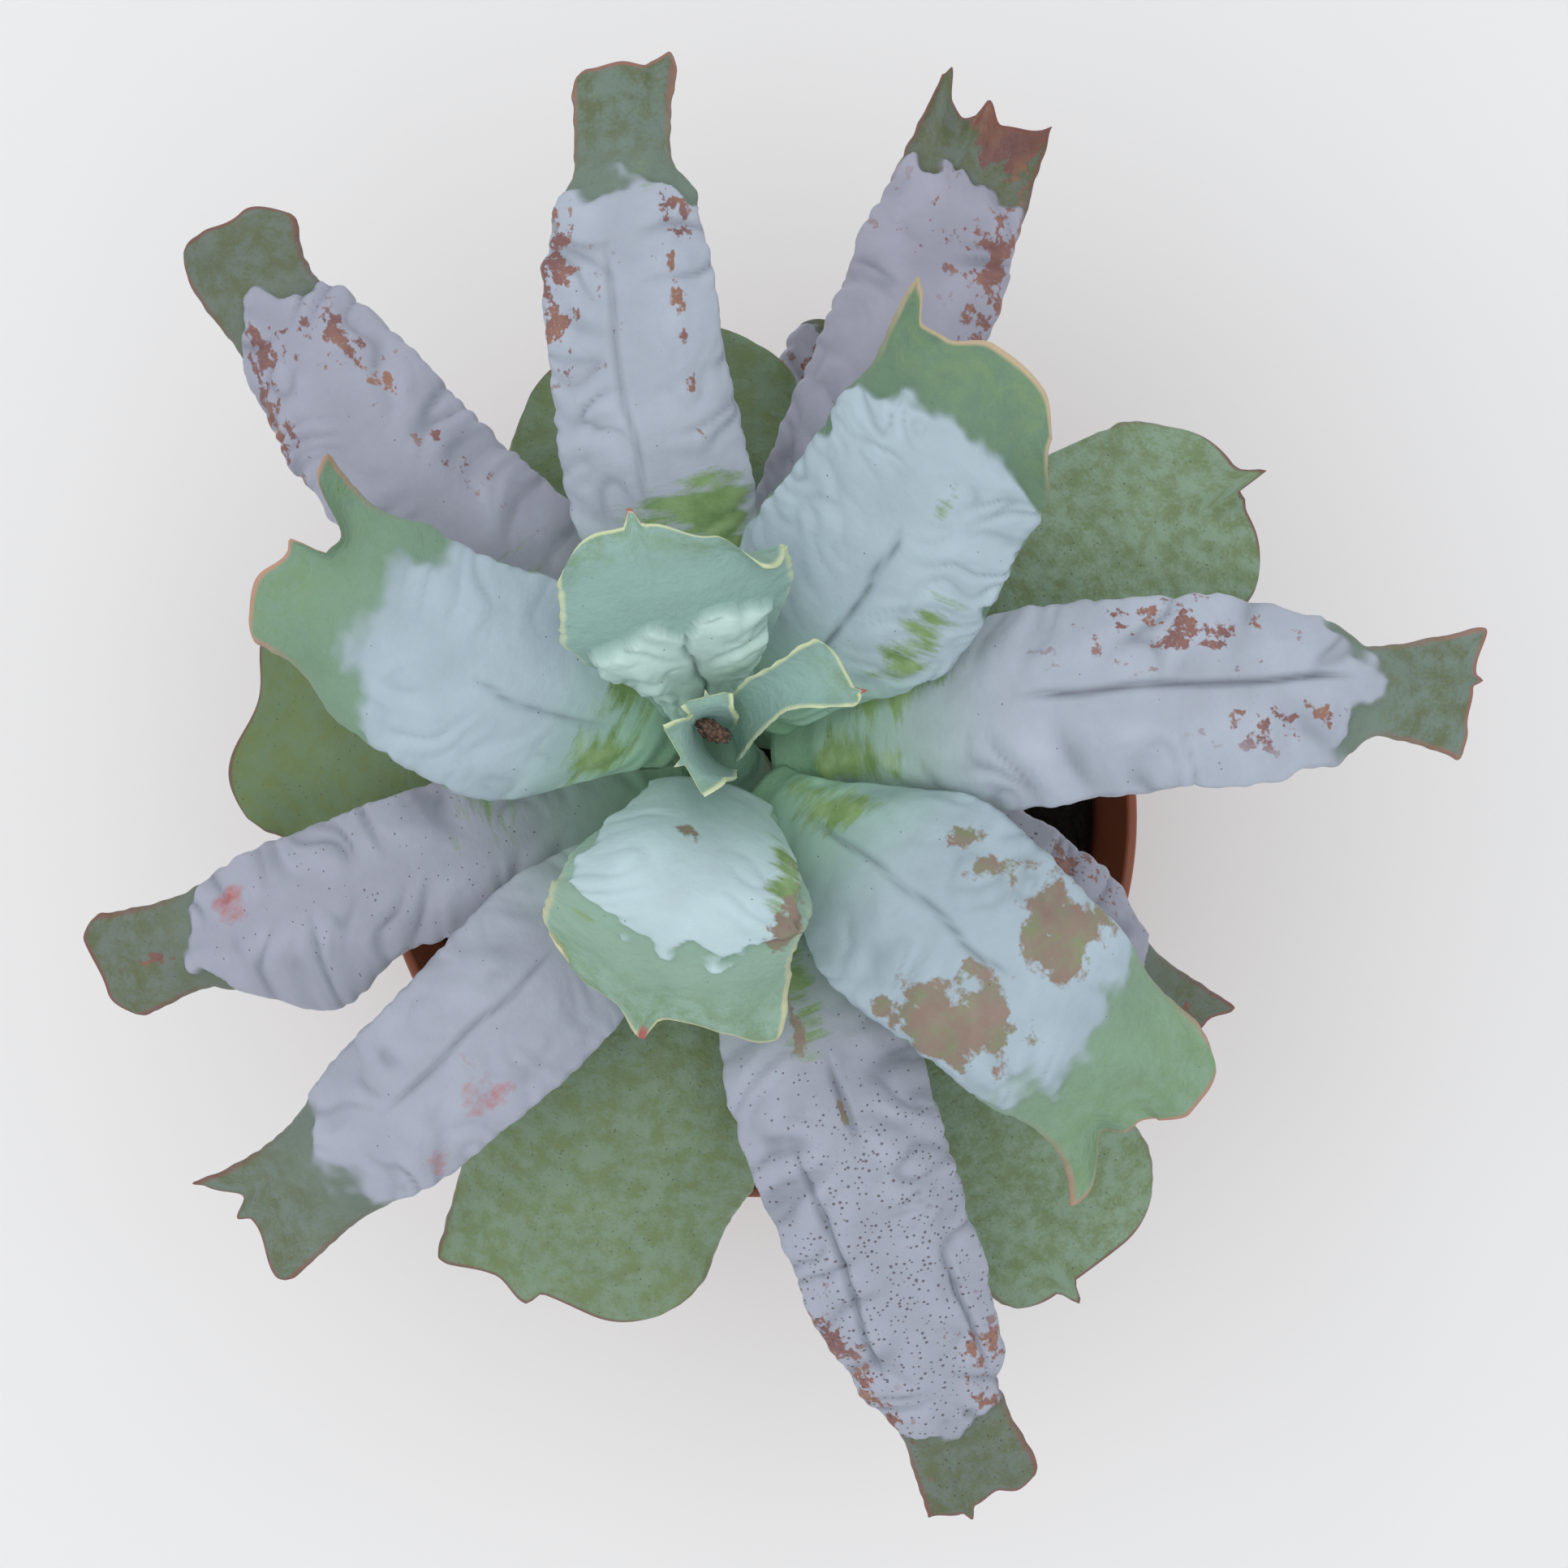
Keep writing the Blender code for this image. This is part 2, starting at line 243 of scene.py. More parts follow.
# ---------------------------------------------------------------------------------------------
# The potting mix: a plug of dark sphagnum peat with crumbs and fibres on top and a few pale grains
# of perlite. It was pressed in loosely by hand and has settled below the rim.
GAP = 0.3
HEADSPACE = 20.0
SOIL_TOP = POT_HEIGHT - HEADSPACE
SOIL_EDGE = 1.5
SOIL_MOUND = 1.0
SOCKET_RADIUS = 7.3
SOCKET_DEPTH = 22.0
WALL_CLEARANCE = 2.5
STEM_CLEARANCE = 1.5
CRUMB_COUNT = 1500
PERLITE_COUNT = 70
FIBRE_COUNT = 60


def peat_finish():
    """Damp peat: nearly black and matt, with brown flecks; a peat crumb is about 1 mm."""
    material, tree, shader = new_finish("sphagnum_peat_damp", 0.9)
    place = add_node(tree, "TexCoord").outputs["Object"]
    brown, crumbs = mottled(tree, place, 900, 6,
                            [(0.3, "#0f0b09"), (0.55, "#1c1511"), (0.78, "#352a20")])
    dress(shader, brown, crumbs, 0.8, 0.5)
    return material


def perlite_finish():
    """Expanded perlite: chalk white, porous and dull, stained a little by the peat."""
    material, tree, shader = new_finish("expanded_perlite", 0.85)
    place = add_node(tree, "TexCoord").outputs["Object"]
    white, _ = mottled(tree, place, 1500, 3, [(0.35, "#8f8578"), (0.6, "#d6d0c4")])
    dress(shader, white)
    return material


def soil_height(x, y):
    """Height of the peat's lumpy top at a place in millimetres."""
    lumps = 0.7 * noise.noise(Vector((x / 7, y / 7, 0)))
    lumps += 0.5 * noise.noise(Vector((x / 2.2, y / 2.2, 5)))
    return SOIL_TOP + SOIL_MOUND / 2 + lumps


def make_soil():
    top = inner_radius(SOIL_TOP - SOIL_EDGE) - GAP
    rings = 26
    profile = [(0, FLOOR + GAP), (inner_radius(FLOOR) - GAP, FLOOR + GAP), (top, SOIL_TOP - SOIL_EDGE)]
    for n in range(1, rings):
        profile.append((top + (SOCKET_RADIUS - top) * n / rings, SOIL_TOP))
    profile += [(SOCKET_RADIUS, SOIL_TOP - SOIL_EDGE), (SOCKET_RADIUS, SOIL_TOP - SOCKET_DEPTH),
                (0, SOIL_TOP - SOCKET_DEPTH)]
    bm = turned(profile, POT_STEPS)
    for vert in bm.verts:
        if abs(vert.co.z - SOIL_TOP * MM) < 1e-6:
            vert.co.z = soil_height(vert.co.x / MM, vert.co.y / MM) * MM
    place_piece("peat_plug", bm, peat_finish(), "peat", "soil")


def scatter(name, count, sizes, material, seed, squash):
    """Loose grains on the peat, each a small rough pebble turned at random."""
    draw = random.Random(seed)
    bm = bmesh.new()
    inner = SOCKET_RADIUS + STEM_CLEARANCE
    outer = inner_radius(SOIL_TOP) - WALL_CLEARANCE
    for _ in range(count):
        size = draw.uniform(*sizes)
        spread = math.sqrt(draw.uniform(inner ** 2, outer ** 2))
        angle = draw.uniform(0, math.tau)
        x, y = spread * math.cos(angle), spread * math.sin(angle)
        turn = Euler([draw.uniform(0, math.tau) for _ in range(3)]).to_matrix().to_4x4()
        shape = Matrix.Diagonal((1, draw.uniform(0.6, 0.9), draw.uniform(*squash), 1))
        place = Matrix.Translation(Vector((x, y, soil_height(x, y) + size * 0.2)) * MM)
        grain = bmesh.ops.create_icosphere(bm, subdivisions=1, radius=size / 2 * MM,
                                           matrix=place @ turn @ shape)
        for vert in grain["verts"]:
            vert.co += Vector([draw.uniform(-0.1, 0.1) * size * MM for _ in range(3)])
    place_piece(name, bm, material, "peat")


make_soil()
peat = bpy.data.objects["peat_plug"].data.materials[0]
scatter("peat_crumbs", CRUMB_COUNT, (0.7, 2.6), peat, 3, (0.4, 0.8))
scatter("peat_fibres", FIBRE_COUNT, (4, 9), peat, 5, (0.06, 0.1))
scatter("perlite_grains", PERLITE_COUNT, (0.8, 2.4), perlite_finish(), 8, (0.6, 0.9))

# ---------------------------------------------------------------------------------------------
# The stem: a short woody trunk that leans a little. It is ringed with the pale scars of fallen
# leaves, corky and grey-brown low down and green above; that green is darkened as painted shade.
STEM_FOOT_RADIUS = 7.0
STEM_TOP_RADIUS = 3.5
STEM_HEIGHT = 90.0
STEM_STOP = 5.5
LEAN = Vector((-5.0, 11.5, 0))
CROWN = SOIL_TOP + STEM_HEIGHT
SCAR_STEP = 3.6
SCAR_HEIGHT = 0.45
BARK_ROUGHNESS = 0.35
BARK_DEPTH = 0.25
GREEN_FROM = CROWN - 60.0
GREEN_TO = CROWN - 25.0
STEM_STEPS = 48
STEM_RINGS = 150


def stem_radius(z):
    share = min(max((z - SOIL_TOP) / STEM_HEIGHT, 0), 1)
    return STEM_FOOT_RADIUS + share * (STEM_TOP_RADIUS - STEM_FOOT_RADIUS)


def stem_axis(z):
    share = max((z - SOIL_TOP) / STEM_HEIGHT, 0)
    return LEAN * share + Vector((0, 0, z))


def stem_bark():
    """Corky bark: dry grey-brown with fine cracks; a leaf scar is a paler band about 1 mm wide."""
    material, tree, shader = new_finish("corky_stem_bark", 0.85)
    place = add_node(tree, "TexCoord").outputs["Object"]
    height = add_node(tree, "SeparateXYZ", {0: place}).outputs["Z"]
    brown, cork = mottled(tree, place, 420, 5,
                          [(0.3, "#4b3a2b"), (0.55, "#7a6450"), (0.75, "#a08a6e")])
    # Higher up the bark turns green: the stem's own green, darkened as painted shade so that its top reads
    # as the shaded heart.
    green_top_and_shade = add_node(tree, "MapRange", {"Value": height, "From Min": GREEN_FROM * MM,
                                        "From Max": GREEN_TO * MM})
    grown = add_node(tree, "Mix", {0: green_top_and_shade.outputs["Result"], 6: brown,
                                   7: linear("#62846f")}, data_type="RGBA")
    dress(shader, grown.outputs[2], cork, 0.6, 0.3)
    return material


def make_stem():
    foot = SOIL_TOP - SOCKET_DEPTH + GAP
    head = SOIL_TOP + STEM_HEIGHT - STEM_STOP
    bm = bmesh.new()
    bmesh.ops.create_cone(bm, cap_ends=True, segments=STEM_STEPS, radius1=1, radius2=1, depth=1)
    upright = [e for e in bm.edges if abs(e.verts[0].co.z - e.verts[1].co.z) > 0.5]
    bmesh.ops.subdivide_edges(bm, edges=upright, cuts=STEM_RINGS)
    for vert in bm.verts:
        z = foot + (head - foot) * (vert.co.z + 0.5)
        angle = math.atan2(vert.co.y, vert.co.x)
        ring = z / SCAR_STEP + 0.35 * math.sin(2 * angle + 0.4 * z)
        scar = SCAR_HEIGHT * max(0, math.cos(math.tau * ring)) ** 3
        rough = noise.noise(Vector((math.cos(angle) * 3, math.sin(angle) * 3, z / 2)))
        above = min(max((z - SOIL_TOP) / 3, 0), 1)
        radius = stem_radius(z) - BARK_DEPTH + above * (scar + BARK_ROUGHNESS * rough)
        out = Vector((math.cos(angle), math.sin(angle), 0)) * radius
        vert.co = (stem_axis(z) + out) * MM
    place_piece("leaf_scarred_stem", bm, stem_bark(), "stem_bark", "stem")


make_stem()

# ---------------------------------------------------------------------------------------------
# The leaves: thick, water-filled blades, each grown as one piece from the stem. A full-grown one
# carries a raised, puffy plate, narrows to a neck and flares into a thin green end with a red
# point. A wax bloom covers them, lilac-grey on the plates, rubbed off or rust-marked in places.
TIERS = 70  # steps of height between the rim and the growing point
FIRST_LEAF = 6.5
LEAF_STEP = 3.1
MARGIN_THICKNESS = 1.4
TIP_CROWDING = 1.35
BASE_SWELL = 0.15
BELLY_TAPER = 0.92
SHOULDER_AT = 0.8
NECK_AT = 0.86
HEART_RADIUS = 1.6
ACROSS = 66
ALONG = 190
EDGE_CROWDING = 1.25  # quarter-turn share that draws the columns towards the margins
EDGE_ROUNDING = 0.9
SHARP_EDGE = 0.16
CURL_FROM = 0.88
PLATE_RISE = 1.0
LOBE_SIZE = 5.0
FRAY_SIZE = 1.7
NOTCH_WIDTH = 2.5
PUFF_HEIGHT = 3.0
PUFF_SLANT = 0.6
PUFF_WARP = 1.3
SWELL = 0.7
SCALLOP = 0.25
MARGIN_BUMP = 1.7
BUMP_SIZE = 4.2
UNEVENNESS = 0.12
RIPPLE_OUT = 0.35  # share of a ripple's height that it also moves sideways
CREASE = 0.75  # below 1, so that the puffs meet in creases
CREASE_WIDTH = 0.17
MARKS = ("rust", "rub", "tan", "flush", "speck", "blush")
FIELDS = ("plate", "edge", "along", "age", "jade", "puff", "crease_shade", *MARKS)
GROOVE_WIDTH = 0.36
PATCH_GRAIN = 0.14
PATCHES = (  # mark, size in mm, how it is drawn out, how broken, noise detail, softness of its border
    ("rub", 2.6, (0.35, 1.3, 1), 1.5, 5, 0.3), ("tan", 4.0, (1, 0.8, 1), 1.6, 4, 0.12),
    ("rust", 2.0, (1, 0.65, 1), 2.0, 3, 0.1), ("flush", 2.0, (1, 0.6, 1), 1.0, 3, 0.4))
SPECK_SPACING = 0.8
STRAY_SPECKS = 0.03
WAX_IOR = 1.42
TIER = (CROWN - POT_HEIGHT) / TIERS


def smooth(low, high, x):
    """0 at low and 1 at high, level at both; low may be the greater."""
    t = min(max((x - low) / (high - low), 0), 1)
    return t * t * (3 - 2 * t)


def eased(stations, v):
    """Value at v of a smooth line that levels off at each (place, value) station."""
    for (a, low), (b, high) in zip(stations, stations[1:]):
        if v <= b:
            return low + (high - low) * (1 - math.cos(math.pi * (v - a) / (b - a))) / 2
    return stations[-1][1]


def blade_width(leaf, v):
    """Full width along the leaf: narrow base, long even belly, shoulders, neck and wide end."""
    belly = leaf["belly"]
    stations = [(0, leaf["base"]), (leaf["full_at"], belly), (leaf["full_to"], belly * BELLY_TAPER)]
    if leaf["shoulder"]:
        stations.append((SHOULDER_AT, leaf["shoulder"]))
    if leaf["neck"]:
        stations.append((NECK_AT, leaf["neck"]))
        if v > NECK_AT:
            share = (v - NECK_AT) / (1 - NECK_AT)
            return leaf["neck"] + (leaf["end_width"] - leaf["neck"]) * share ** 1.4
        return eased(stations, v)
    return eased(stations + [(1, leaf["end_width"])], v)


def midrib(leaf, v):
    """Centreline of the leaf: out along its direction, up to its crest and over to its tip."""
    base = stem_axis(CROWN - leaf["low"] * TIER)
    turn = math.radians(leaf["azimuth"])
    out = Vector((math.cos(turn), math.sin(turn), 0))
    side = Vector((-out.y, out.x, 0))
    root = stem_radius(base.z) if base.z < CROWN - STEM_STOP else HEART_RADIUS
    start = root + GAP + leaf["thick"] / 2
    crest = leaf["crest_at"]
    if v < crest:
        height = leaf["rise"] * math.sin(math.pi / 2 * v / crest)
    else:
        over = math.cos(math.pi / 2 * (v - crest) / (1 - crest))
        height = leaf["tip"] + (leaf["rise"] - leaf["tip"]) * over
    bow = leaf["bow"] * math.sin(math.pi * v)
    run = start + (leaf["reach"] - start) * v
    return base + out * run + side * bow + Vector((0, 0, height * TIER))


def spine_of(leaf, v):
    """What is the same all across the leaf at v: centre, directions and width."""
    step = 0.01
    here = midrib(leaf, v)
    along = (midrib(leaf, min(v + step, 1)) - midrib(leaf, max(v - step, 0))).normalized()
    turn = math.radians(leaf["azimuth"])
    side = Vector((-math.sin(turn), math.cos(turn), 0))
    return here, along, side, along.cross(side).normalized(), blade_width(leaf, v)


def plate_cover(leaf, s, t, half, length):
    """1 on the raised plate, 0 off it, sloping across its lobed border; s and t are millimetres."""
    if not leaf["plate"]:
        return 0.0
    start, stop, wide = leaf["plate"]
    seed = leaf["seed"]
    lobes = 3.8 * noise.noise(Vector((t / LOBE_SIZE, s / LOBE_SIZE, seed)))
    lobes += noise.noise(Vector((t / FRAY_SIZE, s / FRAY_SIZE, seed + 3)))
    reach = half * wide
    front = stop * length - 0.35 * reach * (t / max(reach, 1)) ** 2 - s + leaf["ragged"] * lobes
    front -= leaf["notch"] * math.exp(-(t / NOTCH_WIDTH) ** 2)
    flank = reach - abs(t) + 0.6 * lobes
    back = (s - start * length) * 0.4
    border = leaf["border"]
    return min(smooth(-border / 2, border / 2, front), smooth(-0.5, 0.5, min(flank, back)))


def puffs(leaf, s, t, half):
    """Height of the rounded puffs, which run out and forward, and the line of the fine creases between
    them, where shade is painted.
    """
    seed = leaf["seed"] + (11 if t > 0 else 0)
    fold = leaf["fold"]
    warp = PUFF_WARP * noise.noise(Vector((s / fold / 1.6, t / fold / 1.6, seed + 2)))
    slant = (s - PUFF_SLANT * abs(t)) / fold + warp
    side = smooth(0.0, 0.55, abs(t) / max(half, 1))
    ridge = abs(noise.noise(Vector((slant, 0.3 * t / fold + warp, seed))))
    coarse = ridge ** CREASE
    pinched = smooth(-0.15, 0.25, noise.noise(Vector((s / 9, t / 9, seed + 7))))
    line = pinched * side * min(2 * leaf["wrinkle"], 1) * max(0, 1 - ridge / CREASE_WIDTH)
    fine = abs(noise.noise(Vector((slant * 2.1, 1.6 * t / fold, seed + 5)))) ** CREASE
    swell = SWELL * noise.noise(Vector((s / 15, t / 10, leaf["seed"] + 9)))
    return swell + leaf["wrinkle"] * side * (PUFF_HEIGHT * coarse + 0.7 * fine), line


def grooves(leaf, v, t):
    """Depth of the leaf's lengthwise creases at a place."""
    depth = 0.0
    for start, stop, at, deep in leaf["grooves"]:
        wander = at + 1.2 * noise.noise(Vector((v * 9, at, leaf["seed"])))
        along = smooth(start, start + 0.08, v) * (1 - smooth(stop - 0.08, stop, v))
        depth += deep * along * math.exp(-((t - wander) / GROOVE_WIDTH) ** 2)
    return depth


def mark_field(leaf, kind, u, v):
    """How strongly one kind of mark, such as rust, is present at a place on the leaf."""
    total = 0.0
    for mark, at_u, at_v, wide, long, strength in leaf["marks"]:
        if mark == kind:
            total += strength * math.exp(-((u - at_u) / wide) ** 2 - ((v - at_v) / long) ** 2)
    return min(total, 1.0)


def round_corner(u, back, half, radius):
    """Moves a place near a leaf's end, back mm from it, so that the corner there is an arc."""
    inside = half - radius
    x = (abs(u) * half - inside) / radius if radius else 0
    y = 1 - back / radius if radius else 0
    if x <= 0 or y <= 0:
        return u, 0.0
    pulled = inside + radius * x * math.sqrt(1 - y * y / 2)
    return math.copysign(pulled / half, u), radius * y * (1 - math.sqrt(1 - x * x / 2))


def grow_leaf(leaf, order, material, slot):
    """One leaf as a closed mesh, with the fields that its wax, its marks and its painted shade are painted
    by.
    """
    leaf = {**LEAF_HABIT, **leaf, "seed": 17.3 * order}
    leaf["marks"] = [*leaf["marks"], ("blush", *leaf["blush"])]
    bm = bmesh.new()
    for name in FIELDS:
        bm.verts.layers.float.new(name)
    blade_mm = bm.verts.layers.float_vector.new("blade_mm")
    layers = {name: bm.verts.layers.float[name] for name in FIELDS}
    bmesh.ops.create_grid(bm, x_segments=ACROSS, y_segments=ALONG, size=1)
    lifted = bmesh.ops.extrude_face_region(bm, geom=list(bm.faces), use_keep_orig=True)
    upper = {v for v in lifted["geom"] if isinstance(v, bmesh.types.BMVert)}
    length = sum((midrib(leaf, n / 20 + 0.05) - midrib(leaf, n / 20)).length for n in range(20))
    plate_end = leaf["plate"][1] if leaf["plate"] else 0
    lobe_side, lobe_at, lobe_long, lobe_out = leaf["lobe"]
    wave_size, wave_count = leaf["wave"]
    rows = {}
    for vert in bm.verts:
        x, y = vert.co.x, vert.co.y
        column = math.sin(x * EDGE_CROWDING) / math.sin(EDGE_CROWDING)
        v = 1 - (1 - (y + 1) / 2) ** TIP_CROWDING
        key = round(y, 5)
        if key not in rows:
            rows[key] = spine_of(leaf, v)
        here, along, side, normal, width = rows[key]
        face = 1 if vert in upper else -1
        half = width / 2
        u, drawn_back = round_corner(column, (1 - v) * length, half, leaf["round"][column > 0])
        s = v * length - drawn_back
        t = u * half
        roll = leaf["roll"] + (leaf["end_roll"] - leaf["roll"]) * smooth(SHOULDER_AT, 1, v)
        roll = math.radians(roll) or 0.01
        across = half * math.sin(u * roll) / math.sin(roll)
        sag = half * (1 - math.cos(u * roll)) / math.sin(roll)
        rim = min((1 - abs(column)) * half, (1 - v) * length)
        swell = (1 - u * u) * math.sin(math.pi * min(v + BASE_SWELL, 1))
        body = MARGIN_THICKNESS + (leaf["thick"] - MARGIN_THICKNESS) * swell
        open_edge = 1 - min(rim / EDGE_ROUNDING, 1)
        body = SHARP_EDGE + (body - SHARP_EDGE) * math.sqrt(1 - open_edge * open_edge)
        tilt = normal * math.cos(u * roll) + side * math.sin(u * roll)
        lift = UNEVENNESS * noise.noise(Vector((t / 4, s / 6, leaf["seed"] + 20)))
        cover = 0.0
        puff = 0.0
        crease_shade = 0.0
        if face == 1:
            cover = plate_cover(leaf, s, t, half, length)
            if cover:
                height, line = puffs(leaf, s, t, half)
                groove = grooves(leaf, v, t)
                puff = cover * (height - groove)
                # Shade is painted along the creases between puffs and along the grooves.
                crease_shade = cover * min(0.8 * line + 0.6 * groove, 1)
                lift += cover * PLATE_RISE + puff
            lift *= smooth(0, 2.0, rim + 0.6 * cover)
        # The plate bulges the margin out in bumps, and the thin end ripples.
        outer = smooth(0.7, 1, abs(u))
        plated = smooth(0.15, 0.5, v) * (1 - smooth(plate_end - 0.02, plate_end + 0.02, v))
        bump = abs(noise.noise(Vector((s / BUMP_SIZE, math.copysign(3, u), leaf["seed"])))) ** CREASE
        bulge = outer * plated * leaf["wrinkle"] * MARGIN_BUMP * bump
        phase = wave_count * math.tau * v + leaf["seed"] + (1.9 if u > 0 else 0)
        ripple = wave_size * abs(u) ** 3 * math.sin(phase) * smooth(0.3, 0.8, v)
        scallop = SCALLOP * noise.noise(Vector((s / 1.6, t / 1.6, leaf["seed"]))) * outer
        lobe = lobe_out * outer * math.exp(-((v - lobe_at) / lobe_long) ** 2) if u * lobe_side > 0 else 0
        stretch = max(0, (v - leaf["end_from"]) / (1 - leaf["end_from"])) ** 2
        curl = max(0, (v - CURL_FROM) / (1 - CURL_FROM)) ** 2
        outward = bulge + scallop + RIPPLE_OUT * ripple + lobe - eased(leaf["tuck"], u) * curl
        point = here + side * (across + math.copysign(1, u) * outward) - normal * (sag + 0.6 * lobe)
        point += normal * (face * body / 2 + ripple + eased(leaf["lift"], u) * curl)
        point += tilt * lift + along * (eased(leaf["end"], u) * stretch - drawn_back)
        vert.co = point * MM
        vert[blade_mm] = (t, s, order * 40 + 17 * face)
        values = dict(plate=cover, edge=rim, along=v, age=leaf["age"], puff=puff, crease_shade=crease_shade,
                      jade=leaf["jade"] * smooth(0.38, 0.05, v))
        for kind in MARKS:
            values[kind] = mark_field(leaf, kind, u, v) if face == 1 or kind == "blush" else 0.0
        for name, value in values.items():
            vert[layers[name]] = value
    place_piece("grown_" + leaf["name"], bm, material, slot, leaf["name"])


def leaf_skin(name, plate_shades, blade_shades, olive, olive_from, roughness):
    """Waxy leaf skin: matt farina over water-filled tissue, so it is soft, pale and barely glossy."""
    material, tree, shader = new_finish(name, roughness, WAX_IOR)
    shader.inputs["Subsurface Weight"].default_value = 0.1
    shader.inputs["Subsurface Radius"].default_value = (0.5, 0.8, 0.4)
    shader.inputs["Subsurface Scale"].default_value = 1.0 * MM
    shader.inputs["Sheen Weight"].default_value = 0.05
    read = {field: add_node(tree, "Attribute", attribute_name=field).outputs["Fac"] for field in FIELDS}
    coords = add_node(tree, "Attribute", attribute_name="blade_mm").outputs["Vector"]
    # Wax lies unevenly: clouds 8 mm wide, a mottle of 3 mm, pitting of 2 mm and a grain of 0.5 mm.
    for texture, per_mm, detail in (("cloud", 0.12, 5), ("mottle", 0.3, 6), ("pitting", 0.55, 6),
                                    ("grain", 2.0, 2)):
        read[texture] = add_node(tree, "TexNoise", {
            "Vector": coords, "Scale": per_mm, "Roughness": 0.6, "Detail": detail}).outputs["Fac"]
    # Marks are irregular patches that lie where their field is strong, with grainy borders.
    for mark, size, stretch, broken, detail, soft in PATCHES:
        drawn = add_node(tree, "VectorMath", {0: coords, 1: stretch}, operation="MULTIPLY")
        spread = add_node(tree, "TexNoise", {
            "Vector": drawn.outputs[0], "Scale": 1 / size, "Detail": detail, "Roughness": 0.6})
        level = read[mark]
        for source, weight in ((read["puff"], 0.1), (spread.outputs["Fac"], broken),
                               (read["grain"], PATCH_GRAIN)):
            level = add_node(tree, "Math", {0: source, 1: weight, 2: level},
                             operation="MULTIPLY_ADD").outputs[0]
        border = 0.5 + (broken + PATCH_GRAIN) / 2
        share = add_node(tree, "MapRange", {
            "Value": level, "From Min": border, "From Max": border + soft})
        near = add_node(tree, "MapRange", {"Value": read[mark], "From Min": 0.05, "From Max": 0.3})
        read[mark] = add_node(tree, "Math", {0: share.outputs["Result"], 1: near.outputs["Result"]},
                              operation="MULTIPLY").outputs[0]
    # Where the wax is thin, at the ends and all over old leaves, olive tissue shows in a stipple.
    stipple = add_node(tree, "Math", {0: read["grain"], 1: 0.4, 2: read["mottle"]},
                       operation="MULTIPLY_ADD").outputs[0]
    # Specks are pin-prick blisters about 0.4 mm across and 0.8 mm apart; a few lie everywhere.
    cells = add_node(tree, "TexVoronoi", {"Vector": coords, "Scale": 1 / SPECK_SPACING})
    chance = add_node(tree, "SeparateColor", {0: cells.outputs["Color"]}).outputs[0]
    wanted = add_node(tree, "Math", {0: read["speck"], 1: STRAY_SPECKS}, operation="MAXIMUM").outputs[0]
    wanted = add_node(tree, "Math", {0: wanted, 1: chance}, operation="SUBTRACT").outputs[0]
    present = add_node(tree, "Math", {0: wanted, 1: 0.0}, operation="GREATER_THAN").outputs[0]
    shares = {}
    for share, source, low, high, least, most, factor in (
            ("foot", read["cloud"], 0.3, 0.6, 0.75, 1.0, read["jade"]),
            ("thin_end", read["along"], *olive_from, 0.0, 1.0, 1.0),
            ("margin", read["edge"], 0.95, 0.45, 0.0, 0.9, read["blush"]),
            ("rusty", read["grain"], 0.3, 0.42, 0.5, 0.95, read["rust"]),
            # painted shade in the hollows between puffs, painted light on their tops
            ("painted_puff_shade", read["puff"], -1.2, 0.9, 0.82, 1.05, 1.0),
            ("speck_size", wanted, 0.0, 0.9, 0.15, 0.3, present),
            ("pits", read["plate"], 0.0, 1.0, 1.0, 0.35, read["pitting"])):
        held = add_node(tree, "MapRange", {"Value": source, "From Min": low, "From Max": high,
                                           "To Min": least, "To Max": most})
        shares[share] = add_node(tree, "Math", {0: held.outputs["Result"], 1: factor},
                                 operation="MULTIPLY").outputs[0]
    thin = add_node(tree, "MapRange", {
        "Value": stipple, "From Min": 0.6, "From Max": 0.82, "To Max": 0.7}).outputs["Result"]
    thin = add_node(tree, "Math", {0: thin, 1: shares["thin_end"]}, operation="MULTIPLY").outputs[0]
    # Painted shade in the creases and grooves, at half strength.
    crease_shade = add_node(tree, "Math", {0: read["crease_shade"], 1: 0.5}, operation="MULTIPLY").outputs[0]
    inside = add_node(tree, "Math", {0: shares["speck_size"], 1: cells.outputs["Distance"]},
                      operation="SUBTRACT").outputs[0]
    speck = add_node(tree, "MapRange", {
        "Value": inside, "From Max": 0.05, "To Max": 0.8}).outputs["Result"]
    # Each layer lies over the one before it: its share of the surface, what tints it, and its tints.
    skin = add_node(tree, "ValToRGB", {"Fac": read["age"]}, stops=blade_shades).outputs["Color"]
    for share, tinted_by, tints in (
            (thin, read["mottle"], [(0.0, olive), (1.0, olive)]),
            (read["plate"], read["age"], plate_shades),
            (shares["foot"], read["cloud"], [(0.3, "#7dab88"), (0.7, "#89b592")]),
            # painted shade: a dark blue-grey laid into the creases and grooves
            (crease_shade, read["age"], [(0.0, "#5d8078"), (0.5, "#5b6470")]),
            (read["rub"], read["mottle"], [(0.35, "#6c8b50"), (0.65, "#8aa672")]),
            (read["tan"], read["mottle"], [(0.34, "#838a68"), (0.47, "#8a8270"), (0.6, "#8e7a6e")]),
            (shares["rusty"], read["cloud"], [(0.4, "#7b5350"), (0.5, "#84594f"), (0.62, "#926852")]),
            (speck, read["age"], [(0.0, "#4c5355"), (0.7, "#54474b")]),
            (shares["margin"], read["age"], [(0.0, "#dde5b4"), (0.15, "#d6cfa6"), (0.3, "#c48f7c"),
                                             (0.6, "#8a544f"), (1.0, "#74463f")]),
            (read["flush"], read["grain"], [(0.3, "#a6504e"), (0.7, "#bb766f")])):
        tint = add_node(tree, "ValToRGB", {"Fac": tinted_by}, stops=tints).outputs["Color"]
        skin = add_node(tree, "Mix", {0: share, 6: skin, 7: tint}, data_type="RGBA").outputs[2]
